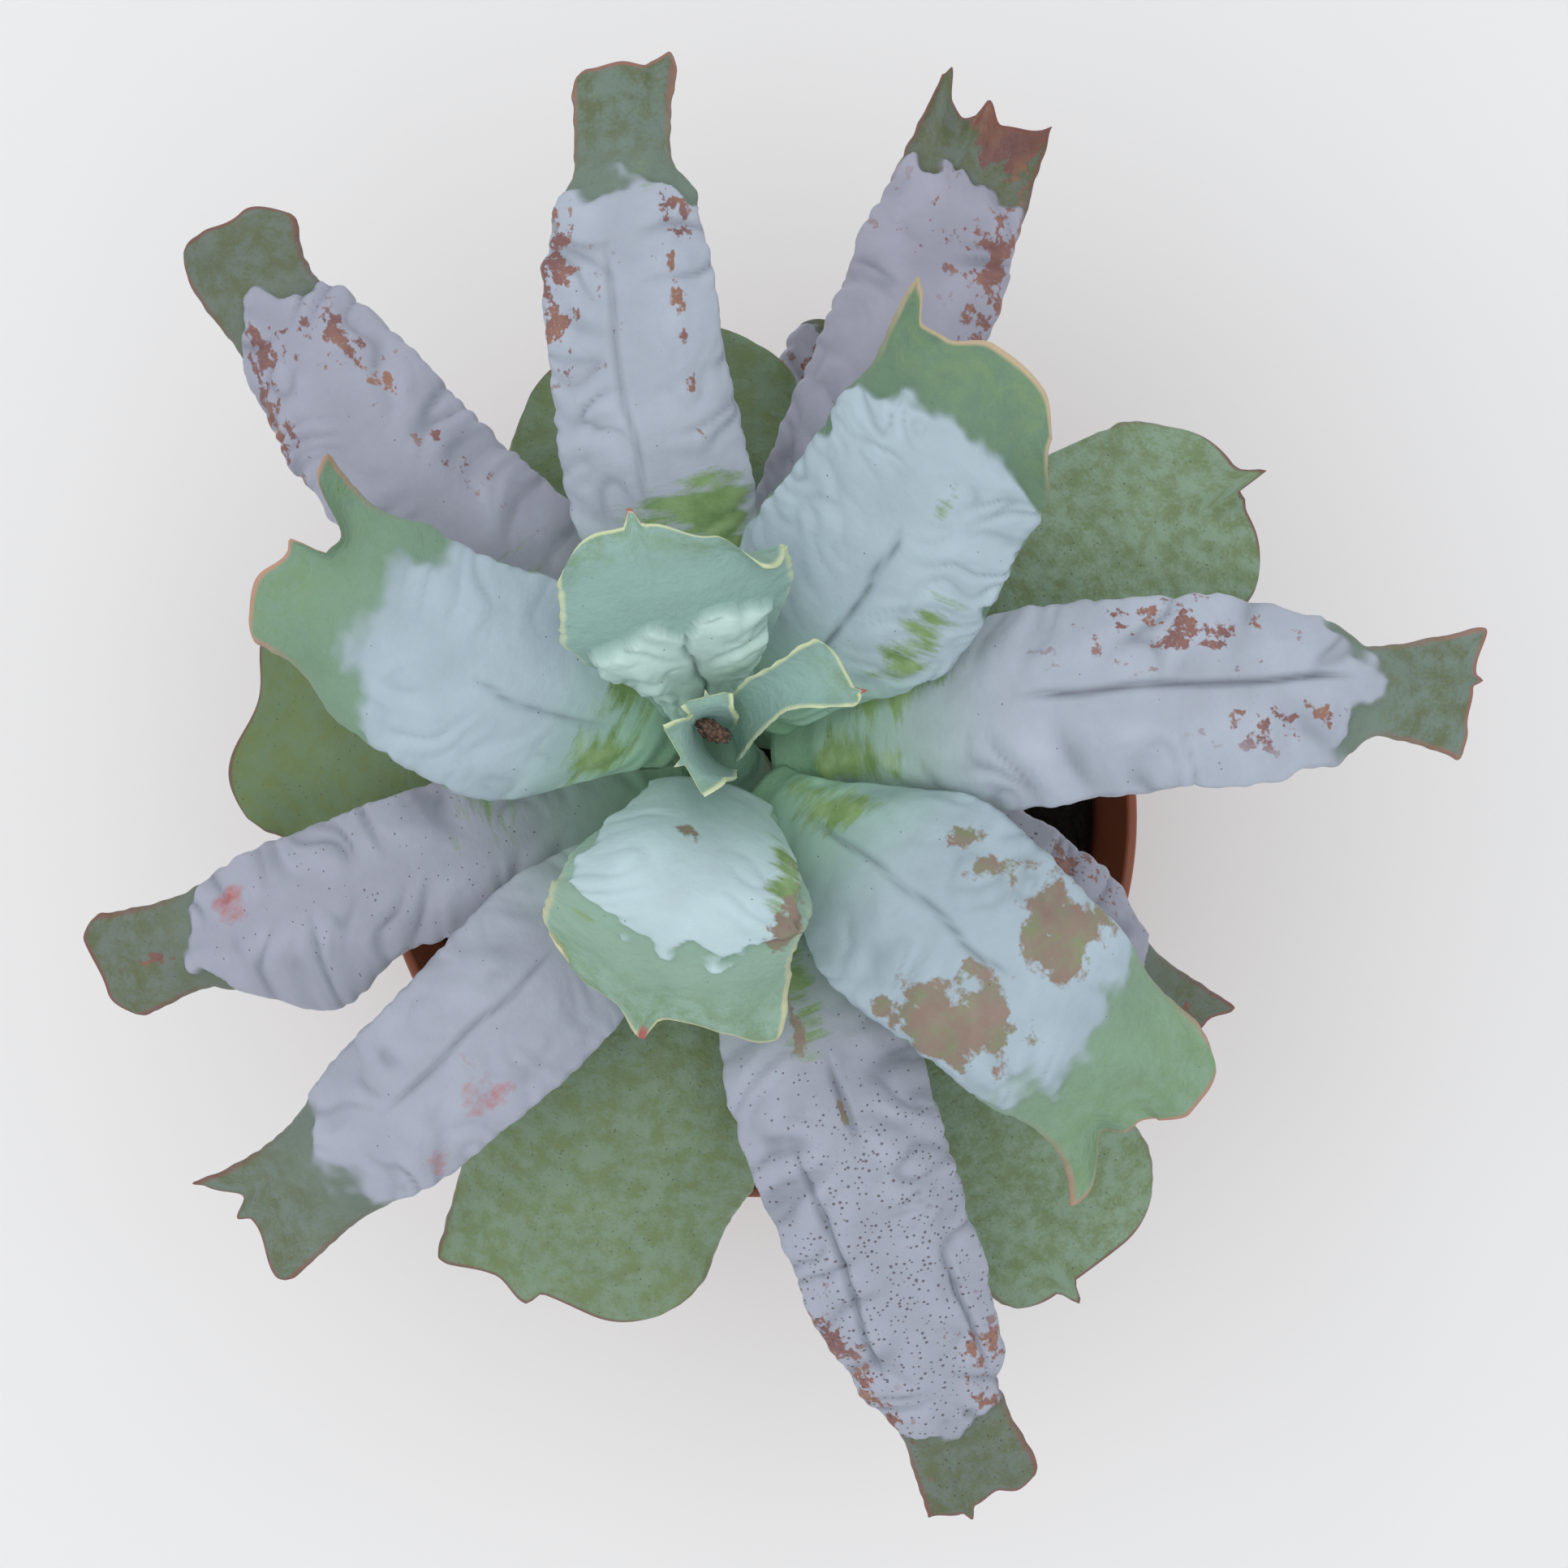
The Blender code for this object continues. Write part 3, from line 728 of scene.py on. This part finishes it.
    # Painted shade and light: the hollows between puffs are darkened and the puff tops lightened a little;
    # wax clouds also vary the tone at random.
    cloudy = add_node(tree, "MapRange", {"Value": read["cloud"], "From Min": 0.3, "From Max": 0.7,
                                         "To Min": 0.92, "To Max": 1.06})
    tone_and_painted_shade = add_node(tree, "Math", {0: cloudy.outputs["Result"], 1: shares["painted_puff_shade"]},
                     operation="MULTIPLY").outputs[0]
    skin = add_node(tree, "HueSaturation", {"Value": tone_and_painted_shade, "Color": skin}).outputs["Color"]
    # Rubbed and corky places have lost their wax, so they lie lower and shine a little more.
    bare = read["rub"]
    for mark in ("tan", "rust"):
        bare = add_node(tree, "Math", {0: bare, 1: read[mark]}, operation="MAXIMUM").outputs[0]
    gloss = add_node(tree, "MapRange", {"Value": bare, "To Min": roughness, "To Max": roughness - 0.18})
    tree.links.new(gloss.outputs["Result"], shader.inputs["Roughness"])
    height = shares["pits"]
    for source, depth in ((bare, -0.12), (speck, -0.15)):
        height = add_node(tree, "Math", {0: source, 1: depth, 2: height},
                          operation="MULTIPLY_ADD").outputs[0]
    dress(shader, skin, height, 0.6, 0.9)
    return material


# A leaf's habit, in millimetres and degrees; rise and tip are heights in tiers. u runs from -1 to 1
# across it, 1 being the side anticlockwise of its direction, and v from 0 at the stem to 1 at its end.
# end, lift and tuck are how far its end reaches out, turns up and folds in at stations of u, and round
# is the radius of its two end corners. plate is (v, v, share of the width), with a border as wide and
# as ragged as given and a notch in its front; fold is the size of a puff. wave is (height, count), a
# groove (v, v, offset, depth), a lobe (side, v, length in v, height), a mark (kind, u, v, widths in u
# and v, strength), and blush is such a mark, for the coloured margin.
FLAT = [(-1, 0), (1, 0)]
LEAF_HABIT = dict(neck=0, shoulder=0, end_width=20, full_at=0.35, full_to=0.65, base=8, crest_at=0.5,
                  bow=0, roll=35, end_roll=5, thick=4.0, plate=(0.06, 0.84, 1.15), border=1.2,
                  ragged=1.3, notch=0, wrinkle=0.4, fold=6.5, grooves=[], jade=0.9, wave=(0.5, 2),
                  end=FLAT, end_from=0.76, lift=FLAT, tuck=FLAT, round=(0, 0), lobe=(1, 0, 1, 0),
                  marks=[], blush=(0, 1, 2, 0.12, 1.0), age=0.6)
YOUNG = dict(skin="young", fold=5.5, full_to=0.7)
LILAC = dict(skin="lilac", roll=40, end_roll=-18, full_to=0.66, wrinkle=0.55)
BROAD = dict(skin="green", plate=None, full_at=0.65, full_to=0.85, roll=24, end_roll=10, wave=(1.6, 2.5),
             age=0.9, marks=[("speck", 0, 0.7, 2, 0.5, 0.3)])
ROSETTE = [
    dict(YOUNG, name="leaf_n_inner", azimuth=107, reach=31, rise=28, tip=28, belly=32, full_at=0.5,
         base=14, full_to=0.8, crest_at=0.95, roll=14, end_roll=8, end_width=30, plate=(0.0, 0.55, 0.85),
         wrinkle=0.8, fold=4.2, age=0.0, round=(9, 9), border=0.8, ragged=0.45, notch=4,
         lobe=(-1, 0.8, 0.25, 2), end_from=0.3,
         end=[(-1, -9), (-0.5, -4), (0.06, 0), (0.14, 3), (0.24, 0.5), (0.6, 1), (1, 0)], jade=0.3,
         grooves=[(0.05, 0.55, 0, 1.2)], blush=(0, 1, 3, 0.6, 1.0),
         marks=[("flush", 0.14, 1.02, 0.07, 0.03, 3)]),
    dict(YOUNG, name="leaf_s_inner", azimuth=258, reach=39, rise=22, tip=5, belly=34, neck=33, base=20,
         full_at=0.3, roll=30, end_roll=12, end_width=36, plate=(0.0, 0.66, 0.86), wrinkle=0.22, age=0.12,
         round=(10, 6), border=1.4, jade=0.35, lobe=(-1, 0.7, 0.3, 3.5),
         end=[(-1, -9), (-0.6, -3.5), (-0.22, 0), (-0.12, -0.5), (-0.05, -5), (0.1, -2.5), (0.5, 1),
              (0.8, 3), (1, 3)], lift=[(-1, 0), (-0.4, 0), (-0.12, 4), (0.1, 1), (0.4, 0), (1, 0)],
         blush=(0, 1, 3, 0.5, 1.0),
         marks=[("tan", 0.82, 0.46, 0.2, 0.2, 0.85), ("rub", 0.72, 0.3, 0.2, 0.2, 0.85),
                ("tan", -0.1, 0.26, 0.22, 0.05, 0.55), ("rub", -0.8, 0.66, 0.12, 0.03, 0.9),
                ("flush", -0.14, 0.99, 0.06, 0.03, 1)]),
    dict(YOUNG, name="leaf_w", azimuth=155, reach=68, rise=15, tip=15, belly=33, neck=25, base=12,
         crest_at=0.7, bow=5, end_width=28, plate=(0.05, 0.74, 0.98), border=5, wrinkle=0.22, age=0.3,
         round=(1.5, 3),
         end=[(-1, -1), (-0.8, -1), (-0.45, -8), (-0.25, -7), (-0.1, -1), (0.0, -1.5), (0.45, 1),
              (1, -1)], lift=[(-1, 5), (-0.7, 4), (-0.3, 2.5), (0, 0.5), (1, 0)],
         tuck=[(-1, -1), (-0.6, 0), (1, 0)], grooves=[(0.15, 0.5, 1, 0.8)],
         marks=[("rub", -0.4, 0.16, 0.5, 0.1, 0.78), ("rub", 0.5, 0.17, 0.4, 0.08, 0.8)]),
    dict(YOUNG, name="leaf_ne", azimuth=56, reach=65, rise=25, tip=25, belly=35, neck=28, base=12,
         crest_at=0.95, end_width=31, plate=(0.05, 0.84, 0.98), wrinkle=0.36, fold=4.6, age=0.22,
         bow=-2.5, ragged=0.7, lobe=(-1, 0.87, 0.1, 3), round=(15, 1), border=1.6, end_roll=12,
         end=[(-1, -3), (-0.8, 0), (-0.5, 3), (0, 2.5), (0.45, -0.5), (0.7, -1), (0.9, 3), (1, 4.5)],
         lift=[(-1, 0), (0.4, 0), (0.75, 3), (1, 5)], tuck=[(-1, -2), (0.1, 0), (0.6, 0.5), (1, 1.5)],
         grooves=[(0.08, 0.6, -1, 1.3)],
         marks=[("rub", -0.25, 0.68, 0.12, 0.1, 0.66), ("rub", -0.62, 0.38, 0.28, 0.17, 0.78)]),
    dict(YOUNG, name="leaf_se", azimuth=320, reach=82, rise=15, tip=5, belly=34, neck=27, base=9, bow=2,
         end_width=28, plate=(0.04, 0.78, 1.05), border=4, wrinkle=0.3, age=0.35, round=(2, 6),
         end=[(-1, -3), (-0.85, -3), (-0.5, -9), (-0.32, -5.5), (-0.24, -5), (0.3, 2), (0.8, 2), (1, 0)],
         lift=[(-1, 1), (-0.5, 3), (-0.1, 2), (0.2, 0), (1, 0)], tuck=[(-1, -4.5), (-0.5, 0), (1, 1)],
         grooves=[(0.1, 0.6, 0, 1.0)],
         marks=[("tan", -0.5, 0.56, 0.36, 0.15, 0.85), ("tan", 0.55, 0.6, 0.55, 0.1, 0.88),
                ("tan", 0.6, 0.38, 0.35, 0.1, 0.58), ("tan", -0.85, 0.5, 0.15, 0.14, 0.62),
                ("rub", 0.3, 0.14, 0.6, 0.1, 0.82)]),
    dict(LILAC, name="leaf_e", azimuth=5, reach=107, rise=15, tip=10, belly=28, shoulder=20, neck=13,
         base=10, crest_at=0.6, bow=4, end_width=20, age=0.5, round=(1.5, 1.5), border=2.5,
         end=[(-1, -3), (-0.5, -1.5), (0.1, 0), (0.2, 1.6), (0.3, 0.6), (1, 2.5)],
         grooves=[(0.34, 0.84, 1.5, 1.5)],
         marks=[("rust", 0.6, 0.58, 0.45, 0.2, 0.42), ("rust", -0.3, 0.73, 0.36, 0.13, 0.42),
                ("rub", 0.5, 0.2, 0.4, 0.09, 0.84), ("rub", -0.35, 0.12, 0.5, 0.09, 0.86)]),
    dict(LILAC, name="leaf_n", azimuth=99, reach=101, rise=15, tip=10, belly=26, shoulder=20, neck=14,
         bow=4, base=10, end_width=14, age=0.5, plate=(0.06, 0.82, 1.15), round=(1, 2.5), border=2,
         end=[(-1, -3), (-0.85, 0), (-0.7, -0.5), (0, 1), (0.6, 0.5), (1, 0)],
         lift=[(-1, 4), (-0.75, 2), (-0.5, 0), (1, 0)], tuck=[(-1, -2), (-0.6, 0), (1, 0)],
         grooves=[(0.3, 0.75, 2, 0.7)],
         marks=[("rust", 0.85, 0.7, 0.3, 0.16, 0.5), ("rust", 0.35, 0.62, 0.4, 0.13, 0.28),
                ("rust", -0.5, 0.56, 0.08, 0.16, 0.5), ("rust", -0.6, 0.76, 0.3, 0.09, 0.36),
                ("rub", 0, 0.32, 0.6, 0.06, 0.8), ("rub", -0.6, 0.27, 0.3, 0.12, 0.8),
                ("rub", -0.3, 0.84, 0.3, 0.07, 0.5)]),
    dict(LILAC, name="leaf_sw", azimuth=224, reach=100, rise=12, tip=2, belly=26, neck=17, bow=3,
         end_width=19, age=0.6, plate=(0.06, 0.81, 1.15), border=4, round=(0.8, 2.5), wrinkle=0.4, base=9,
         end=[(-1, -3), (-0.85, -4), (-0.5, -6), (-0.28, -2.5), (-0.15, -4), (0.8, -0.5), (1, -1)],
         lift=[(-1, 2.5), (-0.6, 0.5), (1, 0)], tuck=[(-1, -1.5), (-0.6, 0), (1, 0)],
         grooves=[(0.3, 0.7, -1, 0.8)],
         marks=[("flush", 0.55, 0.55, 0.25, 0.05, 0.62), ("flush", 0.75, 0.68, 0.25, 0.04, 0.68),
                ("flush", 0.0, 0.55, 0.4, 0.1, 0.42)]),
    dict(LILAC, name="leaf_s", azimuth=289, reach=116, rise=12, tip=-12, belly=28, shoulder=22, neck=16,
         crest_at=0.45, bow=-2, end_width=18, age=0.66, plate=(0.06, 0.88, 1.15), round=(0, 5),
         wrinkle=0.6, end=[(-1, -1), (-0.45, 1.5), (-0.33, 3.5), (-0.2, 1), (0.3, -0.5), (1, -5)],
         lift=[(-1, 0), (0.2, 0), (0.8, 4), (1, 5)], tuck=[(-1, 0), (0.6, 0), (1, -1.5)], border=2,
         grooves=[(0.32, 0.48, 1, 1.6), (0.42, 0.8, -6, 1.3), (0.6, 0.84, 7, 1.2)],
         marks=[("speck", 0, 0.66, 1.6, 0.3, 1.3), ("rust", 0.55, 0.82, 0.5, 0.1, 0.52),
                ("rust", -0.8, 0.78, 0.3, 0.16, 0.5), ("rub", 0.0, 0.23, 0.28, 0.12, 0.82),
                ("tan", -0.1, 0.3, 0.12, 0.08, 0.66), ("tan", 0.06, 0.41, 0.03, 0.07, 0.8)]),
    dict(LILAC, name="leaf_nw", azimuth=134, reach=111, rise=10, tip=-5, belly=26, shoulder=20, neck=16,
         bow=4, end_width=19, age=0.72, plate=(0.06, 0.87, 1.15), wrinkle=0.75, round=(6, 6), border=1.6,
         end=[(-1, -6), (-0.4, 0.5), (0.2, 3), (0.8, 3.5), (1, 3)], tuck=[(-1, -3.5), (0, 0), (1, 2.5)],
         marks=[("rust", 0.4, 0.81, 0.6, 0.06, 0.48), ("rust", -0.4, 0.72, 0.4, 0.1, 0.44),
                ("rust", -0.45, 0.52, 0.2, 0.1, 0.42), ("rust", 0.85, 0.7, 0.3, 0.08, 0.46),
                ("rub", 0, 0.34, 0.8, 0.07, 0.5)]),
    dict(LILAC, name="leaf_wsw", azimuth=197.5, reach=99, rise=8, tip=-4, belly=22, neck=14,
         crest_at=0.45, bow=-1, end_width=18, age=0.7, plate=(0.06, 0.84, 1.15), round=(3, 5),
         lobe=(1, 0.67, 0.11, 6), border=2.5, end=[(-1, 0), (-0.6, 2), (0.3, 1), (1, -2)],
         marks=[("flush", -0.3, 0.76, 0.45, 0.045, 0.75), ("rub", -0.3, 0.3, 0.8, 0.14, 0.5),
                ("speck", 0, 0.5, 1, 0.3, 0.4), ("rust", 0.2, 0.93, 0.8, 0.07, 0.43)]),
    dict(LILAC, name="leaf_nne", azimuth=69, reach=106, rise=10, tip=-4, belly=24, neck=20, end_width=18,
         age=0.78, plate=(0.06, 0.9, 1.15), wrinkle=0.65, border=2, full_to=0.75, end_roll=-60,
         end=[(-1, -4), (-0.85, -4), (-0.2, -3), (0.1, 1), (0.2, -2), (0.6, -1), (0.85, 3), (1, 1)],
         lift=[(-1, 5), (-0.5, 5), (0.1, 4), (0.4, 0), (0.8, 2), (1, 1)],
         # The last rust mark, heavy at the very end, darkens the inside of the cupped end: rust-brown
         # colour and painted shade.
         marks=[("rust", 0, 0.8, 1, 0.1, 0.36), ("rust", -0.8, 0.7, 0.3, 0.18, 0.46),
                ("rust", -0.3, 0.99, 0.7, 0.05, 1.3)], blush=(0, 1, 2, 0.15, 1.0)),
    dict(LILAC, name="leaf_ese", azimuth=330, reach=80, rise=6, tip=-6, belly=24, neck=13, bow=5,
         end_width=17, age=0.75, plate=(0.06, 0.8, 1.15), round=(3, 2),
         end=[(-1, 0), (-0.5, -1), (-0.4, -2), (0.4, 0), (1, 3)],
         marks=[("rust", 0, 0.93, 1, 0.08, 0.46), ("rust", 0.6, 0.6, 0.4, 0.12, 0.4),
                ("speck", 0.5, 0.5, 1, 0.3, 0.6)]),
    dict(BROAD, name="leaf_ene_low", age=0.85, azimuth=30, reach=88, rise=8, tip=0, belly=36, bow=3,
         end_width=32, round=(11, 12),
         end=[(-1, -2), (-0.1, -1), (0, -2), (0.08, 3.5), (0.2, 1), (0.6, 1), (1, 0)],
         lift=[(-1, 0), (-0.2, 0), (0.05, 4), (0.3, 0), (1, 0)]),
    dict(BROAD, name="leaf_ssw_low", age=0.92, azimuth=250, reach=85, rise=5, tip=-12, belly=46,
         crest_at=0.4, round=(3, 14), end_width=40,
         end=[(-1, 2), (-0.5, 0), (-0.2, 3), (-0.1, 0), (0.5, 1), (1, 0)]),
    dict(BROAD, name="leaf_w_low", age=1.0, azimuth=173, reach=78, rise=5, tip=-8, belly=38, crest_at=0.4,
         round=(1, 10), end_width=34, end=[(-1, 3), (-0.85, 0), (-0.3, -2), (0.4, 2), (1, 0)]),
    dict(BROAD, name="leaf_n_low", age=0.95, azimuth=104, reach=72, rise=7, tip=0, belly=50, end_width=44,
         round=(16, 16)),
    dict(BROAD, name="leaf_sse_low", age=0.86, azimuth=307, reach=92, rise=6, tip=-6, belly=36,
         end_width=33, round=(8, 12), end=[(-1, 0), (-0.5, 0), (-0.38, 4), (-0.28, 0), (1, 0)]),
    dict(LILAC, name="leaf_nne_low", azimuth=79, reach=75, rise=3, tip=-1, belly=18, thick=3, roll=24,
         end_width=14, age=0.85, plate=(0.06, 0.97, 1.1), round=(5, 5),
         marks=[("rust", 0, 0.85, 1, 0.14, 0.51)], blush=(0, 1, 2, 0.12, 0.0)),
]
SKINS = {
    "young": leaf_skin("waxy_leaf_skin_young",
                       [(0.0, "#b9d3cc"), (0.14, "#bad0d6"), (0.22, "#abbec7"), (0.35, "#a8bac4")],
                       [(0.0, "#8fb1a8"), (0.13, "#93b39f"), (0.22, "#69876f"), (0.3, "#7d9c84"),
                        (0.37, "#88a68b")], "#78966b", (0.75, 0.95), 0.55),
    "lilac": leaf_skin("waxy_leaf_skin_lilac", [(0.5, "#aab2bf"), (0.8, "#9e9eae")],
                       [(0.5, "#74867a"), (0.8, "#6f786e")], "#5f6636", (0.8, 0.92), 0.58),
    "green": leaf_skin("leaf_skin_aged_green", [(0.0, "#a2a2b2"), (1.0, "#9c9aa6")],
                       [(0.85, "#8da68e"), (0.93, "#7f967d"), (1.0, "#6f8763")], "#6f8148",
                       (-1.0, -0.5), 0.5),
}
for order, leaf in enumerate(ROSETTE):
    skin = leaf["skin"]
    grow_leaf({**leaf, "low": FIRST_LEAF + order * LEAF_STEP}, order, SKINS[skin], "leaf_" + skin)

# ---------------------------------------------------------------------------------------------
# The heart: the three youngest leaves, still cupped upright over the growing point, with pale
# cream margins, and the dead brown scrap of an old flower bud that is caught between them.
HEART = dict(YOUNG, low=4, base=9.5, full_at=0.4, crest_at=0.9, roll=-78, end_roll=-40, thick=1.8,
             plate=None, jade=0.3, wave=(0.3, 2), age=0.0, blush=(0, 0.7, 3, 0.8, 1.0),
             marks=[("flush", 0, 1.02, 0.1, 0.04, 1)])
HEART_LEAVES = [
    dict(HEART, name="heart_west", azimuth=210, reach=5.5, rise=15, tip=15, belly=11, end_width=11.5,
         round=(1, 1), roll=-62, end=[(-1, 0), (-0.1, 0), (0, 1.5), (0.1, 0), (1, 0)]),
    dict(HEART, name="heart_east", azimuth=28, reach=20, rise=18, tip=18, belly=7, bow=2.5, end_width=11,
         base=7, full_at=0.4, full_to=0.5, roll=-60, end_roll=-25, round=(3, 3.5),
         end=[(-1, 0), (-0.6, 0.5), (-0.5, 1.5), (-0.4, 0), (1, 0)],
         marks=[("flush", -0.5, 1.02, 0.1, 0.045, 2.2)]),
    dict(HEART, name="heart_north", azimuth=104, reach=6.5, rise=13, tip=13, belly=7, end_width=8, base=6,
         roll=-40, end_roll=-25, round=(2, 2), end=[(-1, 0), (-0.1, 0), (0, 1), (0.1, 0), (1, 0)]),
]
for order, leaf in enumerate(HEART_LEAVES, len(ROSETTE)):
    grow_leaf(leaf, order, SKINS["young"], "leaf_young")

# ---------------------------------------------------------------------------------------------
# The dried leaf: one thin tan leaf that died and stayed on the stem, dry and papery. The dead bud
# scrap in the heart is the same dried tissue.
SCRAP_SIZE = 4.6
SCRAP_PLACE = (-0.6, 1.0, 6.0)


def dry_leaf_finish():
    """Dried leaf tissue: papery, tan to brown, wrinkled lengthwise about every millimetre."""
    material, tree, shader = new_finish("dried_leaf_papery", 0.8)
    coords = add_node(tree, "Attribute", attribute_name="blade_mm").outputs["Vector"]
    tan, tissue = mottled(tree, coords, 0.9, 5, [(0.3, "#5d452e"), (0.5, "#8d6d48"), (0.7, "#b8975f")])
    dress(shader, tan, tissue, 0.8, 0.4)
    return material


def dead_bud_finish():
    """Dead bud tissue: shrivelled and brown-black, rough at about a third of a millimetre."""
    material, tree, shader = new_finish("shrivelled_bud_tissue", 0.75)
    place = add_node(tree, "TexCoord").outputs["Object"]
    brown, _ = mottled(tree, place, 1600, 4, [(0.35, "#33261d"), (0.55, "#5d4738"), (0.7, "#7f6450")])
    dress(shader, brown)
    return material


def make_bud_scrap():
    bm = bmesh.new()
    bmesh.ops.create_icosphere(bm, subdivisions=4, radius=SCRAP_SIZE / 2)
    centre = stem_axis(CROWN) + Vector(SCRAP_PLACE)
    turn = Euler((0.3, 0.2, -0.5)).to_matrix()
    for vert in bm.verts:
        crumple = 1 + 0.5 * noise.noise(vert.co * 1.1) + 0.3 * noise.noise(vert.co * 3)
        shape = Vector((vert.co.x, vert.co.y * 0.55, vert.co.z * 0.5)) * crumple
        vert.co = (centre + turn @ shape) * MM
    place_piece("dead_bud_scrap", bm, dead_bud_finish(), "leaf_dried")


grow_leaf(dict(name="dried_leaf", azimuth=117, low=31, reach=38, rise=7, tip=7, belly=8, base=5,
               full_at=0.7, full_to=0.85, crest_at=0.9, roll=-20, end_roll=-20, thick=1.4, plate=None,
               wave=(0.8, 3), end_width=5), 23, dry_leaf_finish(), "leaf_dried")
make_bud_scrap()

# ---------------------------------------------------------------------------------------------
# The studio: a plain pale floor, a broad soft light overhead and a camera straight above.
FLOOR_HALF = 3.0
floor_bm = bmesh.new()
bmesh.ops.create_grid(floor_bm, x_segments=1, y_segments=1, size=FLOOR_HALF)
floor_mesh = bpy.data.meshes.new("floor")
floor_bm.to_mesh(floor_mesh)
floor_bm.free()
floor_paint, _, floor_shader = new_finish("matt_white_board", 0.9)
floor_shader.inputs["Base Color"].default_value = linear("#efefee")
floor_mesh.materials.append(floor_paint)
add_object("floor", floor_mesh)

world = bpy.data.worlds.new("studio")
world.use_nodes = True
world.node_tree.nodes["Background"].inputs["Color"].default_value = linear("#f4f6fa")
world.node_tree.nodes["Background"].inputs["Strength"].default_value = 0.78
bpy.context.scene.world = world
KEY_PLACE = (-0.2, 0.0, 1.6)
light = bpy.data.lights.new("overhead", "AREA")
light.size = 1.4
light.energy = 9.5
lamp = add_object("overhead", light)
lamp.location = KEY_PLACE
lamp.rotation_euler = (-Vector(KEY_PLACE)).to_track_quat("-Z", "Y").to_euler()

CAMERA_PLACE = (0.0043, 0.0052, 0.725)
camera_data = bpy.data.cameras.new("camera")
camera_data.sensor_width = 36
camera_data.lens = 90.3
camera = add_object("camera", camera_data)
camera.location = CAMERA_PLACE
bpy.context.scene.camera = camera
bpy.context.scene.view_settings.view_transform = "Standard"
